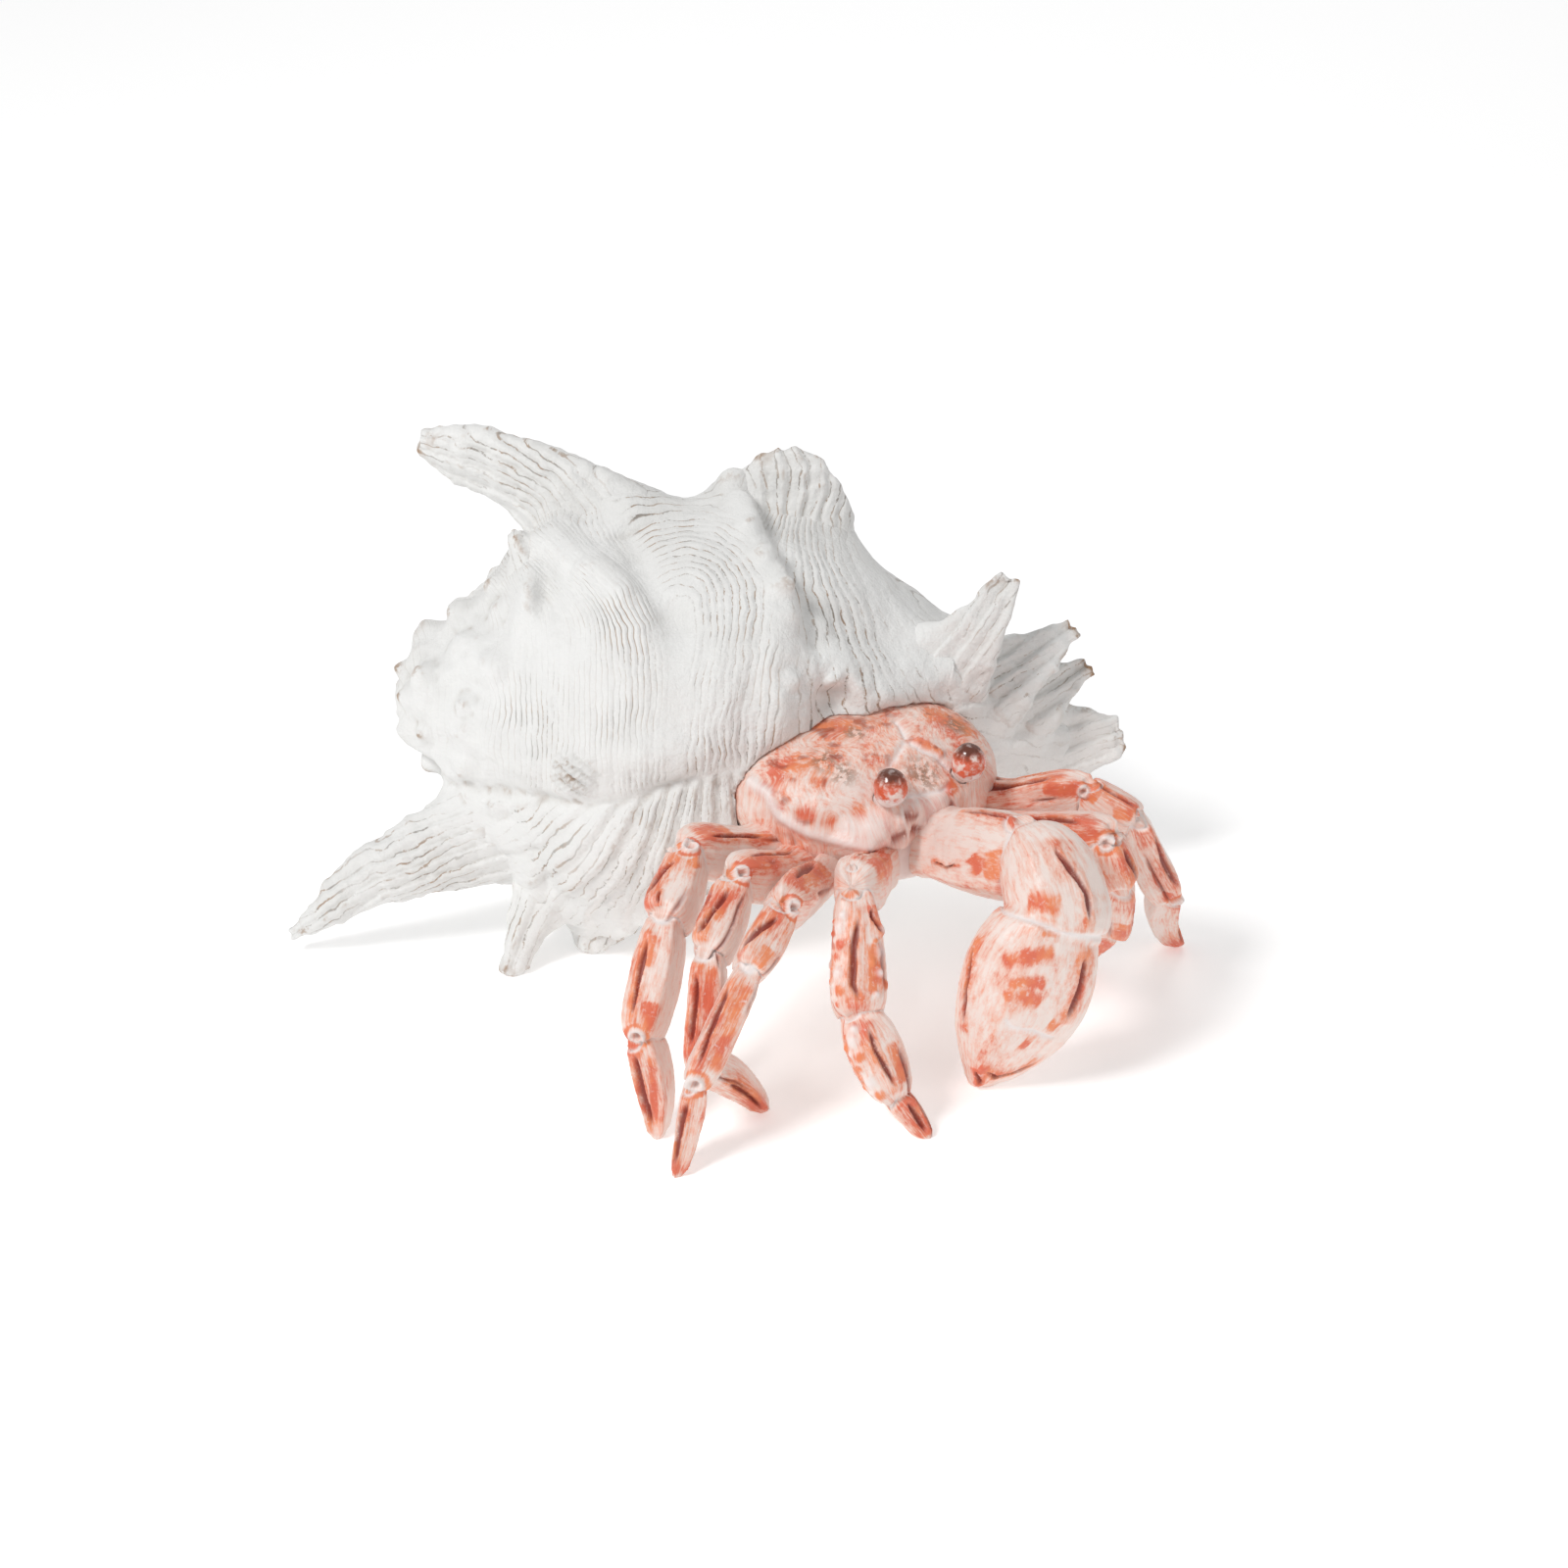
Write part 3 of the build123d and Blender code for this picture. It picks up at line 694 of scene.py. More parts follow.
def spire_knobs():
    """Place, radius and height of each knob of the pointed end, none quite like the next."""
    knobs = []
    for x, count, knob_radius, tall in SPIRE_KNOBS:
        axis_y, axis_z, radius = shell_axis(x)
        for i in range(count):
            turn = 2 * math.pi * (i + 0.3 * math.sin(7 * i + x)) / count
            y, z = axis_y + radius * math.sin(turn), axis_z + radius * math.cos(turn)
            place = (x + 2.5 * math.sin(5 * i), y, z)
            size = knob_radius * (1 + 0.25 * math.sin(11 * i + x))
            knobs.append((place, size, tall * (1 + 0.3 * math.cos(9 * i))))
    return knobs


def shell_folds(relief):
    """Height of the folds, creases and knobs of the shell."""
    height = -3 * relief.swell(PIT, PIT_RADIUS)
    for line, tall, half_width in SHELL_LINES:
        height += tall * relief.fold(line, half_width)
    for i, knob in enumerate(VARIX_KNOBS):
        height += (2.8 + 1.0 * math.sin(5 * i)) * relief.swell(knob, 6 + 1.5 * math.sin(3 * i))
    for knob, knob_radius, tall in spire_knobs():
        height += tall * relief.swell(knob, knob_radius)
    return height


def make_shell(material):
    shell = Casting("shell_body", SHELL_VOXEL, drop_sealed_space)
    relief = Relief(shell, "shell_body")
    points = relief.points
    x, _, z = points.T
    outside = shell_outside(points, shell.facings)
    lip = smoothstep(LIP_REACH, 0, -(points - FACE) @ MOUTH_WAY - FACE_TO_MOUTH)
    spire = smoothstep(*SPIRE_START, x)
    nub = relief.swell(NUB, NUB_RADIUS)
    cord, run, fan, below, clear = shell_lines(points)

    # Each term is a height times a shape. Lumps and grain have the size of their features and a seed
    height = shell_folds(relief) + 1.1 * lip * relief.grain(10, 19)
    height += 0.9 * relief.grain(30, 11) + 0.45 * relief.grain(9, 12) + 0.15 * relief.lumps(2.6, 13)
    height += 1.1 * lumps(points * (1, 0.45, 0.45), 15, 22) * (1 - spire)
    height += (1.2 * relief.grain(9, 16) + 0.7 * relief.lumps(3.5, 17)) * spire
    ribs = lamella(fan / 0.12 + 0.5 * relief.lumps(30, 14)) - 0.4
    rounds = lamella(cord / 9.2 + 0.3 * relief.lumps(25, 15)) - 0.4
    height += (1.5 * ribs * below + 0.4 * rounds * (1 - below) * clear) * (1 - spire)
    height += 3.2 * nub * (0.55 + 0.45 * np.sin(1.5 * (0.75 * x + z) + relief.lumps(8, 18)))
    height = (height + root_fillet(shell, cad_tree(*SPINES), SPINE_FILLET)) * outside
    shell.raise_by(height + 0.35 * relief.grain(8, 20) * (1 - outside))
    pulled = 1.2 + 1.6 * relief.grain(14, 21) + 6.5 * bump_at(points, NOTCH, NOTCH_RADIUS)
    shell.points -= MOUTH_WAY * (lip * pulled)[:, None]
    shell.store()
    shell.smooth(1, 0.3)

    sharp = shell.sharpness()
    edges = smoothstep(0.05, 0.16, sharp)
    crevices = smoothstep(-0.06, -0.18, sharp)
    wear = (0.55 + 0.45 * spire) * edges + (0.35 + 0.55 * spire + 0.7 * nub) * crevices
    dashed = np.max([bump_at(points, spot, DASHED_RADIUS) for spot in DASHED_SPOTS], axis=0)
    # The concave hollows of the shell are kept for the painted shade there
    shell.paint(
        cord=cord, cord_run=run, cord_gain=outside * clear * (1 - 0.85 * spire) * (1 - nub),
        dashed=dashed, wear=wear * outside, hollow=smoothstep(-0.02, -0.14, sharp),
        pink=smoothstep(20, 55, x) * (1 - outside),
    )
    shell.finish("shell_body", material)
    return relief.solid


def path_frame(points, rows, wide_way):
    """Place of points round a bent bar: part along it, length along it, and how far off its line across
    the width, through the thickness and past its end, as shares of the half sizes there."""
    rows = np.array(rows, float)
    starts, _ = length_starts(rows[:, :3])
    _, part, foot = near_path(points, rows[:, :3])
    run = part * starts[-1]
    way, wide, thick = bar_ways(rows, run, wide_way)
    half_width = np.interp(run, starts, rows[:, 3]) / 2
    half_thick = np.interp(run, starts, rows[:, 4]) / 2
    off = points - foot
    across = np.sum(off * wide, axis=1) / half_width
    deep = np.sum(off * thick, axis=1) / half_thick
    past = np.sum(off * way, axis=1) / half_width
    return part, run, across, deep, past


def bar_ways(rows, run, wide_way):
    """Directions along a bent bar, across its width and through its thickness, at lengths along it."""
    centres = rows[:, :3]
    starts, _ = length_starts(centres)
    ways = unit(np.gradient(centres, starts, axis=0))
    way = unit(np.stack([np.interp(run, starts, ways[:, i]) for i in range(3)], axis=1))
    wide = np.array(wide_way, float)
    wide = unit(wide - way * (way @ wide)[:, None])
    return way, wide, np.cross(way, wide)


# Seeds of the spines' noise
SPINE_SEED = 30
SPINE_SEED_STEP = 5


def make_spine(name, material, tree):
    rows, wide_way = SPINES[name]
    spine = Casting(name, SPINE_VOXEL)
    points = spine.points.copy()
    part, run, across, deep, _ = path_frame(points, rows, wide_way)
    seed = SPINE_SEED + SPINE_SEED_STEP * list(SPINES).index(name)
    tip = smoothstep(0.55, 1, part)
    size = np.interp(part, np.linspace(0, 1, len(rows)), [row[3] for row in rows])
    rim = smoothstep(0.55, 1, np.abs(across))
    flutes = lamella(across * size / 11 + 0.4 * lumps(points, 22, seed))
    edges = lamella(run / 10 + 0.7 * lumps(points, 16, seed + 1))
    height = 1.3 * (flutes - 0.5) * smoothstep(0.0, 0.25, part) * (1 - 0.6 * rim) + 0.5 * (edges - 0.5)
    height += 2.2 * rim * np.maximum(grain(points, 9, seed + 2), -0.3) + 0.2 * lumps(points, 2.4, seed + 3)
    height += 0.8 * grain(points, 14, seed + 4) * (0.5 + tip)
    if name.startswith("lip_frond"):
        height -= 1.6 * (1 - across ** 2) * smoothstep(0.2, 0.8, deep) * smoothstep(0.2, 0.4, part)
    spine.raise_by(height + root_fillet(spine, tree, SPINE_FILLET))
    spine.smooth(1, 0.3)
    sharp = spine.sharpness()
    wear = smoothstep(0.05, 0.17, sharp) * (0.2 + 0.7 * tip) + 0.35 * smoothstep(0.88, 1, part)
    # The concave hollows of the spine are kept for the painted shade there
    spine.paint(
        cord=across * size / 2, cord_run=run, cord_gain=np.full(len(points), 0.9), wear=wear,
        hollow=smoothstep(-0.02, -0.14, sharp), pink=np.zeros(len(points)),
    )
    spine.finish(name, material)


CRAB_PALE = (0.91, 0.77, 0.71, 1)
CRAB_CORAL = (0.76, 0.135, 0.06, 1)
CRAB_ORANGE = (0.87, 0.25, 0.09, 1)
CRAB_DARK = (0.25, 0.027, 0.017, 1)
CRAB_BROWN = (0.27, 0.15, 0.09, 1)
CRAB_WHITE = (0.92, 0.85, 0.83, 1)
# Noise features in a metre
CRAB_FINE = 800
CRAB_SPECK = 420
CRAB_WORN = 300
CRAB_BROAD = 85


def crab_paint():
    """White-washed pink with dry-brushed coral patches, dark red lines and white joint lines."""
    paint = Paint("crab_paint")
    place = paint.place()
    across = paint.times(paint.attribute("across"), 1.1)
    along = paint.times(paint.attribute("along"), 0.14)
    brush = paint.noise(paint.vector(across, along, 0), 1.0, 4, 0.72)
    broad = paint.noise(place, CRAB_BROAD, 3)
    fine = paint.noise(place, CRAB_FINE, 4)
    speck = paint.noise(place, CRAB_SPECK, 3)
    patch = paint.plus(paint.attribute("patch"), paint.swing(broad, 1))
    coat = paint.plus(paint.times(patch, 0.8), paint.swing(brush, 2.1), paint.swing(speck, 0.5))

    thin = paint.times(paint.step(coat, -0.1, 0.5), 0.42)
    thick = paint.times(paint.step(coat, 0.3, 0.85), 0.92)
    colour = paint.mix(thin, CRAB_PALE, CRAB_ORANGE)
    colour = paint.mix(thick, colour, paint.mix(paint.step(broad, 0.4, 0.6), CRAB_ORANGE, CRAB_CORAL))
    brown = paint.times(paint.attribute("brown"), paint.step(speck, 0.42, 0.56), 0.8)
    colour = paint.mix(brown, colour, CRAB_BROWN)
    wash = paint.times(paint.step(fine, 0.5, 0.66), paint.step(speck, 0.5, 0.66), 0.5)
    colour = paint.mix(wash, colour, CRAB_WHITE)
    colour = paint.mix(paint.attribute("white"), colour, CRAB_WHITE)
    worn = paint.step(paint.plus(paint.noise(place, CRAB_WORN, 3), paint.times(brush, 0.5)), 0.46, 0.66)
    colour = paint.mix(paint.times(paint.attribute("dark"), worn, 0.95), colour, CRAB_DARK)
    paint.set("Base Color", colour)
    paint.set("Roughness", 0.42)
    height = paint.plus(paint.times(fine, 0.5), paint.times(brush, 0.9), paint.times(speck, 0.4))
    paint.bump(height, 0.5, 0.0004)
    return paint.material


# Limbs as the castings have them: joints, first, middle and last width of each segment, and the thickness as
# a share of the width
LIMBS = {
    "right_leg_1": (
        [(15.4, -44.2, 52), (0.3, -99.4, 71), (-10.6, -118.4, 58), (-26.9, -135.2, 28),
         (-33.3, -145.1, -1)],
        [(9, 16, 17), (13, 17, 15), (12, 14.5, 13), (10, 10.5, 4)], 0.8),
    "right_leg_2": (
        [(9.6, -37.7, 52), (-14.7, -82.7, 71), (-23.1, -107.6, 58), (-25.3, -120.8, 24),
         (-5.6, -106.8, -1)],
        [(8, 15, 16), (13, 17, 16), (13, 16, 14), (11, 11, 4)], 0.8),
    "right_leg_3": (
        [(5, -30, 53), (-30, -68.6, 73), (-36.8, -93.9, 62), (-44.3, -115.6, 33), (-39.6, -123.4, -1)],
        [(9, 17, 17), (14, 18, 18), (14, 18, 15), (12, 12.5, 4)], 0.8),
    "small_claw": (
        [(30, -42.6, 54), (22, -85.4, 69), (23.3, -107, 36), (34.4, -117.1, 12), (45.2, -122.8, -1)],
        [(10, 17, 18), (14, 21, 21), (17, 22, 16), (11, 10.5, 5)], 0.85),
    "left_leg_1": (
        [(59.5, -16.1, 54), (102, -58.3, 73), (106.8, -60, 56), (106.7, -42.6, 30), (102, -16.8, -1)],
        [(9, 15, 15), (12, 17, 17), (13, 16, 14), (10, 10, 4)], 0.85),
    "left_leg_2": (
        [(56.5, -7.6, 56), (96.5, -31.6, 75), (112.8, -37, 66), (126.2, -26.4, 33), (133.9, -1.8, -1)],
        [(9, 15, 15), (12, 16, 15), (12, 14.5, 13), (10, 11, 4.5)], 0.8),
}
HIP_INSIDE = 14
SEGMENT_ROWS = [(-0.1, 0.5), (0.02, 0.85), (0.3, 1), (0.65, 1), (0.96, 0.96), (1.06, 0.55)]
SEGMENT_BOW = (0.03, 0.06, 0.02, 0.09)
CLAW_BROAD_SIDE = np.array([0.25, -0.93, 0.25])
CLAW_SEGMENTS = [
    [(40, -25, 50, 12, 12), (50, -36, 56, 22, 20), (60, -49, 62, 29, 25), (70, -62, 67, 31, 26),
     (79, -73, 70, 27, 23), (84, -79, 71, 13, 12)],
    [(75, -69, 79, 12, 12), (80, -77, 75, 27, 24), (85, -85, 66, 32, 27), (87, -90, 56, 31, 25),
     (88, -93, 50, 16, 14)],
    [(84, -90, 66, 14, 13), (83, -91, 60, 31, 22), (79, -93, 48, 41, 25), (75, -94, 33, 42, 24),
     (69, -93, 16, 31, 17), (64, -91, 4, 14, 10), (62, -90, -1, 7, 6)],
]

# A place on a limb is a segment, a part of its length, and a turn round it in radians, which is 0 on the
# outside of the limb's bend. Grooves with dark paint: segment, parts and turns, half width
GROOVES = {
    "right_leg_3": [
        (0, [(0.5, -0.9), (0.98, -1.1)], 0.8), (1, [(0.26, -0.5), (0.5, 0.05), (1.0, 0.6)], 1.2),
        (1, [(0.8, -0.1), (0.98, -0.2)], 0.6), (2, [(0.15, -0.1), (0.95, -0.2)], 0.9),
        (3, [(0.05, -0.1), (0.6, 0.1), (0.97, -0.3)], 1.2)],
    "right_leg_2": [
        (0, [(0.4, -0.4), (0.75, -0.65), (1.0, -0.6)], 0.9),
        (1, [(0.22, -0.6), (0.65, -0.1), (1.02, 0.25)], 1.2), (1, [(0.25, 0.3), (1.0, 0.55)], 0.6),
        (2, [(0.1, 0.2), (0.35, 0.0), (0.9, 0.15)], 0.9), (3, [(0.2, -0.9), (0.95, -0.8)], 1.0)],
    "right_leg_1": [
        (0, [(0.45, 0.3), (0.85, 0.0), (1.0, -0.1)], 1.4),
        (1, [(0.22, -0.5), (0.6, 0.22), (0.98, 0.65)], 1.4),
        (2, [(0.12, 0.42), (0.6, 0.28), (0.95, -0.1)], 0.9),
        (3, [(0.1, -0.05), (0.6, 0.5), (0.97, 0.2)], 1.2)],
    "small_claw": [
        (0, [(0.3, -0.5), (0.95, -0.3)], 0.8),
        (1, [(0.18, 0.0), (0.3, -0.35), (0.5, -0.12), (0.8, -0.08), (1.0, -0.45)], 1.2),
        (1, [(0.2, -1.0), (0.3, -0.9), (0.45, -1.3)], 0.7),
        (2, [(0.1, -0.42), (0.45, -0.28), (0.95, -0.5)], 1.1), (3, [(0.1, -0.65), (0.95, -0.6)], 1.0)],
    "left_leg_2": [
        (0, [(0.35, 0.05), (0.95, 0.0)], 1.2), (0, [(0.3, -0.7), (0.95, -0.7)], 0.8),
        (1, [(0.1, -0.3), (0.5, -0.1), (1.0, -0.1)], 1.0),
        (2, [(0.08, 0.2), (0.45, 0.42), (0.9, 0.4)], 1.0),
        (3, [(0.05, 0.2), (0.6, 0.1), (0.95, 0.6)], 1.0)],
    "left_leg_1": [
        (0, [(0.4, 0.1), (0.75, 0.2), (1.0, 0.5)], 1.1), (1, [(0.15, 0.0), (0.75, -0.2), (1.0, -0.2)], 1.6),
        (2, [(0.1, 0.0), (0.95, 0.1)], 0.9), (3, [(0.1, 0.2), (0.95, 0.2)], 0.9)],
    "big_claw": [
        (0, [(0.36, -1.5), (0.43, -1.56), (0.5, -1.5), (0.56, -1.6), (0.62, -1.64)], 0.4),
        (0, [(0.5, -2.8), (0.85, -3.0)], 1.0),
        (1, [(0.22, -1.9), (0.36, -1.75), (0.5, -1.9), (0.62, -2.05), (0.9, -2.0)], 1.2),
        (2, [(0.12, -2.3), (0.33, -2.28), (0.52, -2.2)], 1.2),
        (2, [(0.2, 0.05), (0.4, -0.25), (0.7, -0.5)], 0.7),
        (2, [(0.8, -1.0), (0.87, -1.7), (0.8, -2.2), (0.68, -2.35)], 0.8),
        (2, [(0.84, -0.9), (0.95, -1.4)], 0.8)],
}
# White rings with a dark middle where a joint turns: segment, part, turn, radius
RINGS = {
    "right_leg_3": [(1, 0.17, -0.75, 2.6), (2, 0.98, -0.5, 2.7)],
    "right_leg_2": [(1, 0.12, -0.85, 2.9)],
    "right_leg_1": [(1, 0.14, -0.8, 2.7), (2, 0.97, -0.2, 3.1)],
    "left_leg_2": [(1, 0.08, 0.75, 2.2), (2, 0.96, 0.6, 2.2)],
    "left_leg_1": [(1, 0.1, 0.85, 2.9)],
}
# Brushed coral patches: segment, parts and turns that they run through, half width
PATCHES = {
    "right_leg_3": [
        (0, [(0.75, -0.7), (0.98, -0.7)], 3.5), (1, [(0.3, -0.9), (0.4, -1.3)], 2.5),
        (2, [(0.7, -0.8), (0.95, -1.0)], 2.5), (2, [(0.2, -0.3), (0.5, -0.4)], 2),
        (3, [(0.15, -0.9), (0.9, -0.45)], 1.2)],
    "right_leg_2": [
        (0, [(0.7, -1.0), (1.0, -1.0)], 3.5), (1, [(0.3, -0.7), (0.8, -0.3)], 1.5),
        (2, [(0.1, -0.6), (0.9, -0.7)], 2.5), (3, [(0.3, -1.1), (0.9, -0.8)], 3.5)],
    "right_leg_1": [
        (0, [(0.4, -0.2), (1.0, -0.4)], 4), (1, [(0.3, 0.4), (0.8, 0.9)], 2.5),
        (1, [(0.7, -0.6), (0.98, -0.6)], 2.8), (2, [(0.1, -0.4), (0.5, -0.5), (0.9, -0.8)], 2.5),
        (3, [(0.6, 0.8), (0.98, 0.4)], 2)],
    "small_claw": [
        (0, [(0.4, -1.2), (0.95, -1.2)], 5), (1, [(0.45, -0.9), (0.9, -0.7)], 3),
        (1, [(0.15, 0.6), (0.1, -0.6)], 1.2), (1, [(0.3, 0.9), (0.8, 1.0)], 2.5),
        (2, [(0.2, 0.8), (0.8, 0.9)], 2.5), (2, [(0.4, -0.9), (0.9, -0.8)], 2.5),
        (3, [(0.1, -1.1), (0.8, -1.0)], 1.5)],
    "left_leg_2": [
        (0, [(0.8, 0.5), (1.0, 0.9)], 3), (1, [(0.15, 0.6), (0.35, 0.7)], 2.5),
        (1, [(0.65, 0.9), (0.95, 0.4)], 2.2), (2, [(0.8, 0.9), (0.95, 1.0)], 2.2),
        (3, [(0.1, 0.0), (0.8, -0.1)], 1.8)],
    "left_leg_1": [
        (0, [(0.75, 0.9), (1.0, 1.0)], 2.5), (1, [(0.15, 0.2), (1.0, 0.1)], 2.5),
        (2, [(0.5, 0.5), (0.95, 0.8)], 3), (3, [(0.1, 0.8), (0.9, 0.8)], 3)],
    "big_claw": [
        (0, [(0.68, -1.9), (0.74, -1.5)], 3.5), (0, [(0.74, -1.5), (0.84, -1.75), (0.8, -2.2)], 4),
        (1, [(0.56, -0.75), (0.62, -1.1), (0.67, -1.5)], 3.2), (1, [(0.82, -0.9), (0.84, -1.4)], 1.2),
        (2, [(0.27, -0.75), (0.21, -1.2), (0.16, -1.7)], 2.6), (2, [(0.34, -1.0), (0.3, -1.66)], 2.2),
        (2, [(0.42, -1.0), (0.37, -1.36), (0.41, -1.7)], 2.8), (2, [(0.5, -1.9), (0.52, -2.15)], 2.5),
        (2, [(0.61, -1.65), (0.62, -1.85)], 3)],
}
# White lines: segment, parts and turns, half width
WHITE_LINES = {"big_claw": [(2, [(0.5, -1.2), (0.54, -1.35), (0.54, -1.7), (0.58, -2.25)], 0.8)]}
# Rows of warts on the small claw: segment, first and last part, first and last turn, count
WARTS = {
    "small_claw": [
        (1, 0.25, 0.95, 0.3, 1.1, 16), (2, 0.15, 0.9, 0.2, 1.1, 14), (1, 0.35, 0.9, -1.3, -0.7, 7)],
}
# Four blunt edges along each limb: height, share of the height that stands out, turn of the first
EDGE_RISE = 1.5
EDGE_SHARE = 0.6
EDGE_TURN = 0.4
# Turn of the painted side edges
SIDE_TURN = 1.15
# Radius that turns strokes into lengths, and the shift of the strokes from one segment to the next
STROKE_RADIUS = 7
STROKE_SHIFT = 40
# Seeds of the limbs' noise
LIMB_SEED = 120
LIMB_SEED_STEP = 7
LIMB_NAMES = [*LIMBS, "big_claw"]


def limb_segments(name):
    """Rows and wide direction of each segment of a limb, as its casting has them."""
    if name == "big_claw":
        return [(np.array(rows, float), np.cross(CLAW_BROAD_SIDE, np.subtract(rows[-1][:3], rows[0][:3])))
                for rows in CLAW_SEGMENTS]
    joints, widths, thickness = LIMBS[name]
    joints = np.array(joints, float)
    across = np.cross(joints[1] - joints[0], joints[4] - joints[1])
    joints[0] -= unit(joints[1] - joints[0]) * HIP_INSIDE
    segments = []
    for i, bow in enumerate(SEGMENT_BOW):
        along = joints[i + 1] - joints[i]
        outward = unit(np.cross(across, along))
        first, middle, last = widths[i]
        rows = []
        for part, share in SEGMENT_ROWS:
            early = 2 * first * (part - 0.5) * (part - 1)
            late = 2 * last * part * (part - 0.5)
            width = (early - 4 * middle * part * (part - 1) + late) * share
            rise = 4 * bow * np.linalg.norm(along) * part * (1 - part)
            rows.append((*(joints[i] + along * part + outward * rise), width, width * thickness))
        segments.append((np.array(rows), outward))
    return segments


def limb_place(segment, part, turn):
    """Point on the side of a limb segment."""
    rows, wide_way = segment
    starts, _ = length_starts(rows[:, :3])
    run = np.array([part * starts[-1]])
    _, wide, thick = bar_ways(rows, run, wide_way)
    x, y, z, width, thickness = [np.interp(run[0], starts, rows[:, i]) for i in range(5)]
    off = wide[0] * math.cos(turn) * width + thick[0] * math.sin(turn) * thickness
    return np.array([x, y, z]) - off / 2


def limb_path(tree, segment, places):
    """Bent line on a limb through places of one segment."""
    between = []
    for (part, turn), (next_part, next_turn) in zip(places, places[1:]):
        for share in (0, 0.25, 0.5, 0.75):
            between.append((part + (next_part - part) * share, turn + (next_turn - turn) * share))
    between.append(places[-1])
    return laid_on(tree, [limb_place(segment, *place) for place in between])


def limb_fit(points, segments):
    """Segment that each point of a limb belongs to, the length along it, the turn round it, and how much
    further off the next segment is, as a share of the half width."""
    fits = []
    for rows, wide_way in segments:
        _, run, across, deep, past = path_frame(points, rows, wide_way)
        off_line = np.sqrt(across ** 2 + deep ** 2 + past ** 2)
        fits.append((off_line, run, np.arctan2(-deep, -across)))
    fits = np.array(fits)
    order = np.argsort(fits[:, 0], axis=0)
    best = order[0]
    everyone = np.arange(len(points))
    off_line, run, turn = [fits[best, i, everyone] for i in range(3)]
    gap = fits[order[1], 0, everyone] - off_line
    return best, run, turn, gap


def add_grooves(relief, paths, seed):
    """Draws dark grooves with a raised rim, and gives the coral that spreads round them."""
    rim, halo = np.zeros((2, len(relief.points)))
    uneven = 1 + 0.45 * relief.lumps(6, seed + 5)
    for path, half_width in paths:
        line = ridge(relief.points, path, 0.85 * half_width * uneven, 0.4)
        relief.at_least(dark=smoothstep(0.2, 0.7, line))
        rim = np.maximum(rim, ridge(relief.points, path, 2.6 * half_width, 0.1))
        halo = np.maximum(halo, ridge(relief.points, path, 3.6 * half_width * uneven, 0.1))
    relief.height += 0.7 * rim
    return halo


def add_edge_lines(relief, turn, seed):
    """Draws broken dark lines along the two side edges of a limb."""
    wander = 0.1 * relief.lumps(10, seed + 8)
    broken = smoothstep(0.0, 0.5, relief.lumps(12, seed + 7))
    relief.at_least(dark=0.8 * broken * bell(np.abs(turn) - wander, SIDE_TURN, 0.09))


def add_ring(relief, place, radius, seed):
    """Raises a white ring with a dark middle and coral round it."""
    apart = np.linalg.norm(relief.points - laid_point(relief.solid, place), axis=1)
    reach = apart / radius * (1 + 0.15 * relief.lumps(2.5, seed + 6))
    band = bell(reach, 0.72, 0.24)
    relief.height += 1.4 * band - 0.4 * bell(reach, 0, 0.4)
    relief.dark *= smoothstep(0.9, 1.2, reach)
    middle = 0.5 * np.exp(-(reach / 0.4) ** 4)
    relief.at_least(white=0.75 * band, patch=1.2 * bell(reach, 1.35, 0.3), dark=middle)


def add_warts(relief, segment, first, last, low, high, count):
    """Raises a scattered row of warts between two parts and two turns, white and coral in turn."""
    for i in range(count):
        part = first + (last - first) * (i + 0.5) / count
        turn = low + (high - low) * ((0.618 * i) % 1)
        swell = relief.swell(limb_place(segment, part, turn), 2.3 + 0.9 * math.sin(4 * i))
        relief.height += 0.8 * swell
        if i % 2 == 0:
            relief.at_least(white=0.9 * swell)
        else:
            relief.at_least(patch=1.3 * swell)


def make_limb(name, material, body):
    limb = Casting(name, LIMB_VOXEL)
    relief = Relief(limb, name)
    segments = limb_segments(name)
    best, run, turn, gap = limb_fit(relief.points, segments)
    joint = bell(gap, 0, 0.055)
    seed = LIMB_SEED + LIMB_SEED_STEP * LIMB_NAMES.index(name)

    def paths(table):
        lines = table.get(name, [])
        return [(limb_path(relief.solid, segments[index], places), width) for index, places, width in lines]

    halo = add_grooves(relief, paths(GROOVES), seed)
    if name != "big_claw":
        add_edge_lines(relief, turn, seed)
    relief.height -= 1.6 * relief.dark
    side_edge = bell(np.abs(turn), SIDE_TURN, 0.3) + 0.7 * bell(turn, 0, 0.3)
    relief.patch = 0.02 + 0.35 * relief.grain(16, seed + 3) + 0.7 * halo
    relief.patch += 0.34 * side_edge + 0.26 * bell(gap, 0.16, 0.09)
    uneven = 1 + 0.15 * relief.lumps(4, seed + 4)
    for path, half_width in paths(PATCHES):
        relief.at_least(patch=1.1 * uneven * ridge(relief.points, path, 1.3 * half_width, 0.15))
    relief.white = 0.95 * joint
    for path, half_width in paths(WHITE_LINES):
        relief.at_least(white=0.9 * ridge(relief.points, path, half_width, 0.05))
    relief.height += 0.4 * relief.grain(9, seed + 1) + 0.1 * relief.lumps(1.8, seed + 2)
    relief.height -= 0.8 * joint + 0.5 * (relief.white - 0.95 * joint)
    relief.height += EDGE_RISE * (EDGE_SHARE - np.abs(np.sin(2 * (turn - EDGE_TURN)))) * (1 - joint)

    for index, part, turn_there, radius in RINGS.get(name, []):
        add_ring(relief, limb_place(segments[index], part, turn_there), radius, seed)
    for index, *row in WARTS.get(name, []):
        add_warts(relief, segments[index], *row)
    limb.raise_by(relief.height + root_fillet(limb, body, LIMB_FILLET))
    limb.paint(
        across=turn * STROKE_RADIUS, along=run + STROKE_SHIFT * best, patch=relief.patch,
        dark=np.clip(relief.dark, 0, 0.95) * (1 - 0.8 * joint), white=relief.white, brown=relief.brown,
    )
    limb.finish(name, material)


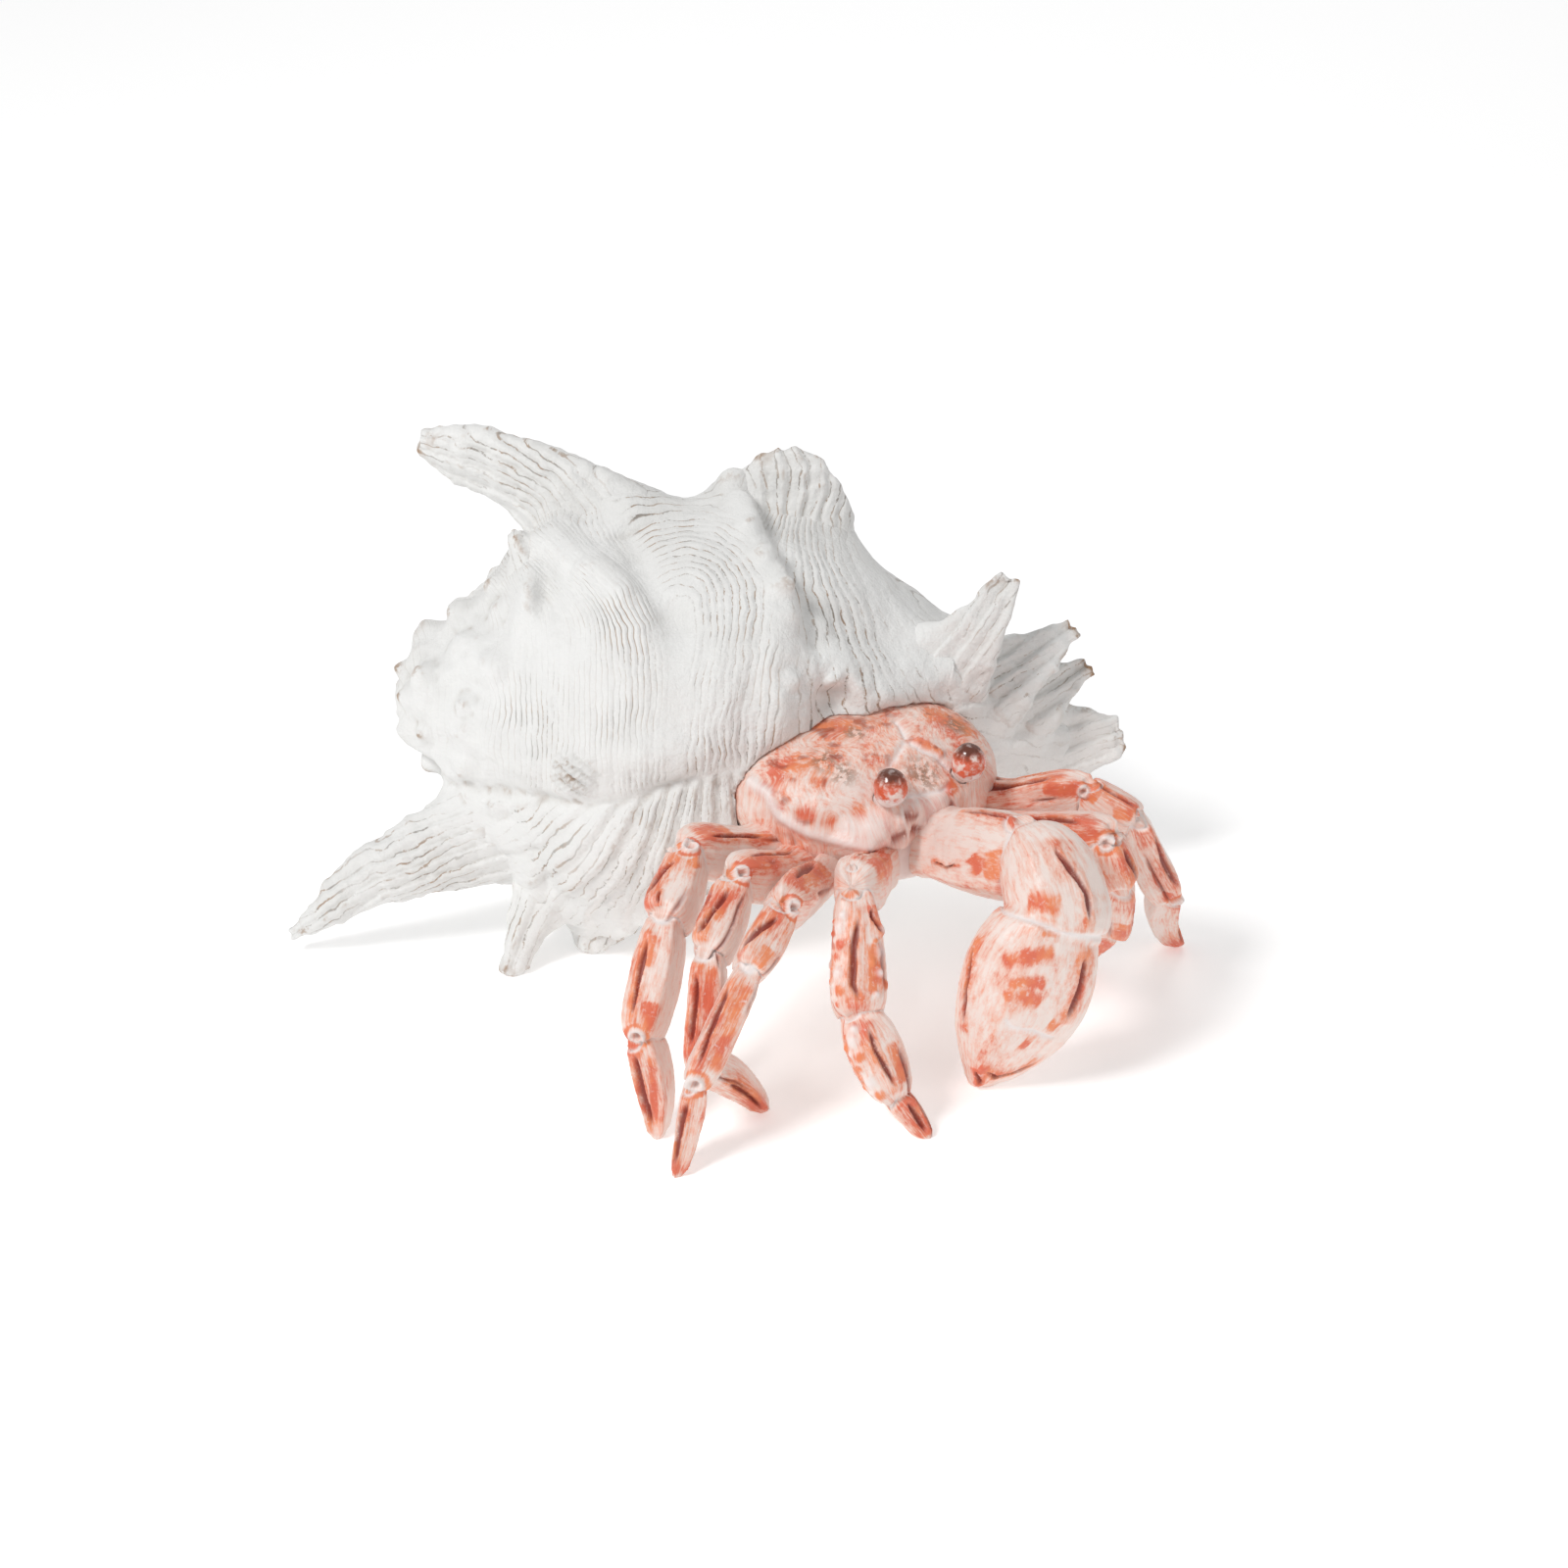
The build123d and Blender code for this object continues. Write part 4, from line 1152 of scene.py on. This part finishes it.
# Lines and spots of the crab's body, as points near its surface
MID_GROOVE = [(36, -12, 90), (38, -16, 89), (40, -22, 88)]
RIGHT_BRANCH = [(40, -22, 88), (44, -25, 86), (49, -26, 84), (53, -28, 81), (56, -29, 78)]
LEFT_BRANCH = [(40, -22, 88), (36, -31, 86), (33, -36, 84), (30, -42, 82)]
BRANCH_EDGE = [(42, -22, 88), (47, -23, 86), (52, -25, 83)]
BROW = [(37, -44, 77), (40, -41, 77), (50, -36, 76), (54, -34, 77)]
BORDER = [(-12, -34, 80), (-5, -42, 79), (-1, -47, 73), (7, -51, 70), (14, -52, 68), (21, -51, 68),
          (28, -49, 66)]
# Grooves with their strength
FACE_GROOVES = [(MID_GROOVE, 1), (RIGHT_BRANCH, 1), (LEFT_BRANCH, 0.7), (BROW, 0.9)]
PLATE = (45, -34, 80)
PLATE_RADIUS = 9
# Heights between which the white underside starts
UNDERSIDE = (64, 58)
# How far behind the mouth's edge the relief starts to fade, and where it ends
RELIEF_END = (4, 14)
# Swellings and spots: x, y, z, radius
MOUTHPARTS = [(42, -43, 75, 4), (49, -38, 73, 4), (39, -45, 71, 3.5), (46, -41, 68, 4.5), (53, -36, 69, 4),
              (31, -48, 70, 6), (37, -46, 65, 4.5), (24, -51, 67, 7)]
MOUTH_LINES = [[(47, -41, 68), (51, -37, 70), (55, -34, 72)], [(40, -46, 68), (44, -43, 66)],
               [(38, -46, 73), (42, -43, 72)], [(33, -48, 67), (38, -46, 68)]]
CORAL_SPOTS = [
    (14, -22, 90, 10), (22, -16, 91, 9), (30, -12, 91, 9), (5, -37, 85, 7), (-3, -38, 84, 6),
    (10, -36, 86, 6), (17, -30, 88, 5), (52, -4, 88, 10), (58, -10, 85, 9), (60, -18, 81, 7),
    (0, -45, 78, 4), (7, -49, 75, 4), (14, -50, 74, 3), (24, -48, 76, 3), (30, -46, 76, 3),
    (21, -22, 90, 6), (54, -32, 76, 3), (10, -42, 82, 4),
]
BROWN_SPOTS = [(23, -22, 90, 5), (13, -35, 87, 6), (19, -40, 85, 6), (45, -33, 81, 8), (56, -8, 86, 6)]


def body_relief(relief):
    """Grooves, border, plate and mouthparts of the face, and their white and dark lines."""
    groove = np.max([strength * relief.fold(line, 1.0, 0.06) for line, strength in FACE_GROOVES], axis=0)
    border = relief.fold(BORDER, 2.0, 0.05)
    relief.height += 0.6 * relief.grain(12, 210) + 0.25 * relief.lumps(2.2, 211)
    relief.height += 1.6 * border - 1.2 * groove + relief.fold(BRANCH_EDGE, 3)
    relief.height -= relief.swell(PLATE, PLATE_RADIUS)
    relief.at_least(white=np.maximum(0.9 * groove, 0.8 * border))
    for *place, radius in MOUTHPARTS:
        swell = relief.swell(place, 1.5 * radius)
        relief.height += 0.75 * radius * swell
        relief.at_least(white=0.45 * smoothstep(0, 0.3, swell))
    for line in MOUTH_LINES:
        mark = relief.fold(line, 1.6, 0.1)
        relief.height -= 1.2 * mark
        relief.at_least(dark=0.8 * mark)
    relief.white *= 1 - relief.dark
    relief.at_least(white=0.85 * smoothstep(*UNDERSIDE, relief.points[:, 2]))


def body_coat(relief):
    """Coral patches, dark specks in them and brown spots of the carapace."""
    relief.patch = 0.3 + 0.6 * relief.grain(11, 212) + 0.9 * relief.fold(BRANCH_EDGE, 1.6)
    uneven = 0.8 + 0.7 * relief.grain(6, 213)
    for *place, radius in CORAL_SPOTS:
        relief.at_least(patch=1.2 * uneven * relief.swell(place, 1.8 * radius))
    specks = smoothstep(0.3, 0.6, relief.lumps(2.6, 215)) * smoothstep(0.35, 0.8, relief.patch)
    relief.at_least(dark=0.6 * specks * (1 - relief.white))
    for *place, radius in BROWN_SPOTS:
        relief.at_least(brown=relief.swell(place, 1.2 * radius))


def make_body(material):
    body = Casting("crab_body", BODY_VOXEL)
    relief = Relief(body, "crab_body")
    behind = -(relief.points - FACE) @ NOSE
    body_relief(relief)
    fade_start, fade_end = RELIEF_END
    shown = smoothstep(FACE_TO_MOUTH + fade_end, FACE_TO_MOUTH + fade_start, behind)
    body.raise_by(relief.height * shown)
    body_coat(relief)
    swirl = 4 * relief.lumps(9, 214)
    body.paint(
        across=0.7 * relief.points @ LEFT + swirl, along=3 * behind + swirl, patch=relief.patch,
        dark=relief.dark, white=relief.white, brown=relief.brown,
    )
    body.finish("crab_body", material)
    return relief.solid


# Eyes and pins
EYE_HEIGHT = 13.2
EYE_DARK = (0.11, 0.034, 0.02, 1)
STEEL_DARK = (0.45, 0.45, 0.46, 1)
STEEL_LIGHT = (0.65, 0.65, 0.66, 1)


def eye_paint():
    """Glossy dark brown over orange, with a pale rim at the foot."""
    paint = Paint("eye_gloss")
    mottle = paint.noise(paint.place(), 330, 3)
    high = paint.plus(paint.attribute("high"), paint.swing(mottle, 0.5))
    warm = paint.mix(paint.step(mottle, 0.3, 0.55), CRAB_PALE, CRAB_CORAL)
    colour = paint.mix(paint.step(high, 0.25, 0.4), CRAB_WHITE, warm)
    colour = paint.mix(paint.times(paint.step(high, 0.62, 0.95), 0.95), colour, EYE_DARK)
    paint.set("Base Color", colour)
    paint.set("Roughness", 0.2)
    paint.set("Coat Weight", 0.4)
    paint.bump(paint.noise(paint.place(), 450, 3), 0.3, 0.0004)
    return paint.material


def make_eye(name, material):
    eye = Casting(name, EYE_VOXEL)
    top = eye.points[:, 2].max()
    eye.raise_by(0.2 * lumps(eye.points, 2.2, 230))
    eye.paint(high=1 - (top - eye.points[:, 2]) / EYE_HEIGHT)
    eye.finish(name, material)


def pin_steel():
    """Cut steel wire with fine drawing marks."""
    paint = Paint("pin_steel")
    marks = paint.noise(paint.place(), 1500, 3)
    colour = paint.mix(marks, STEEL_DARK, STEEL_LIGHT)
    paint.set("Base Color", colour)
    paint.set("Metallic", 1)
    paint.set("Roughness", 0.35)
    return paint.material


# Build
add_camera()
add_floor()
add_world()
for light_name, light_values in LIGHTS.items():
    add_light(light_name, *light_values)

shell_material = shell_paint()
shell_tree = make_shell(shell_material)
for spine_name in SPINES:
    make_spine(spine_name, shell_material, shell_tree)
crab_material = crab_paint()
body_tree = make_body(crab_material)
for limb_name in LIMB_NAMES:
    make_limb(limb_name, crab_material, body_tree)
eye_material = eye_paint()
for eye_name in ("left_eye", "right_eye"):
    make_eye(eye_name, eye_material)
steel = pin_steel()
for pin_name in ("leg_pins", "spine_pins"):
    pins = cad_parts[pin_name]
    pins.data.materials.clear()
    pins.data.materials.append(steel)
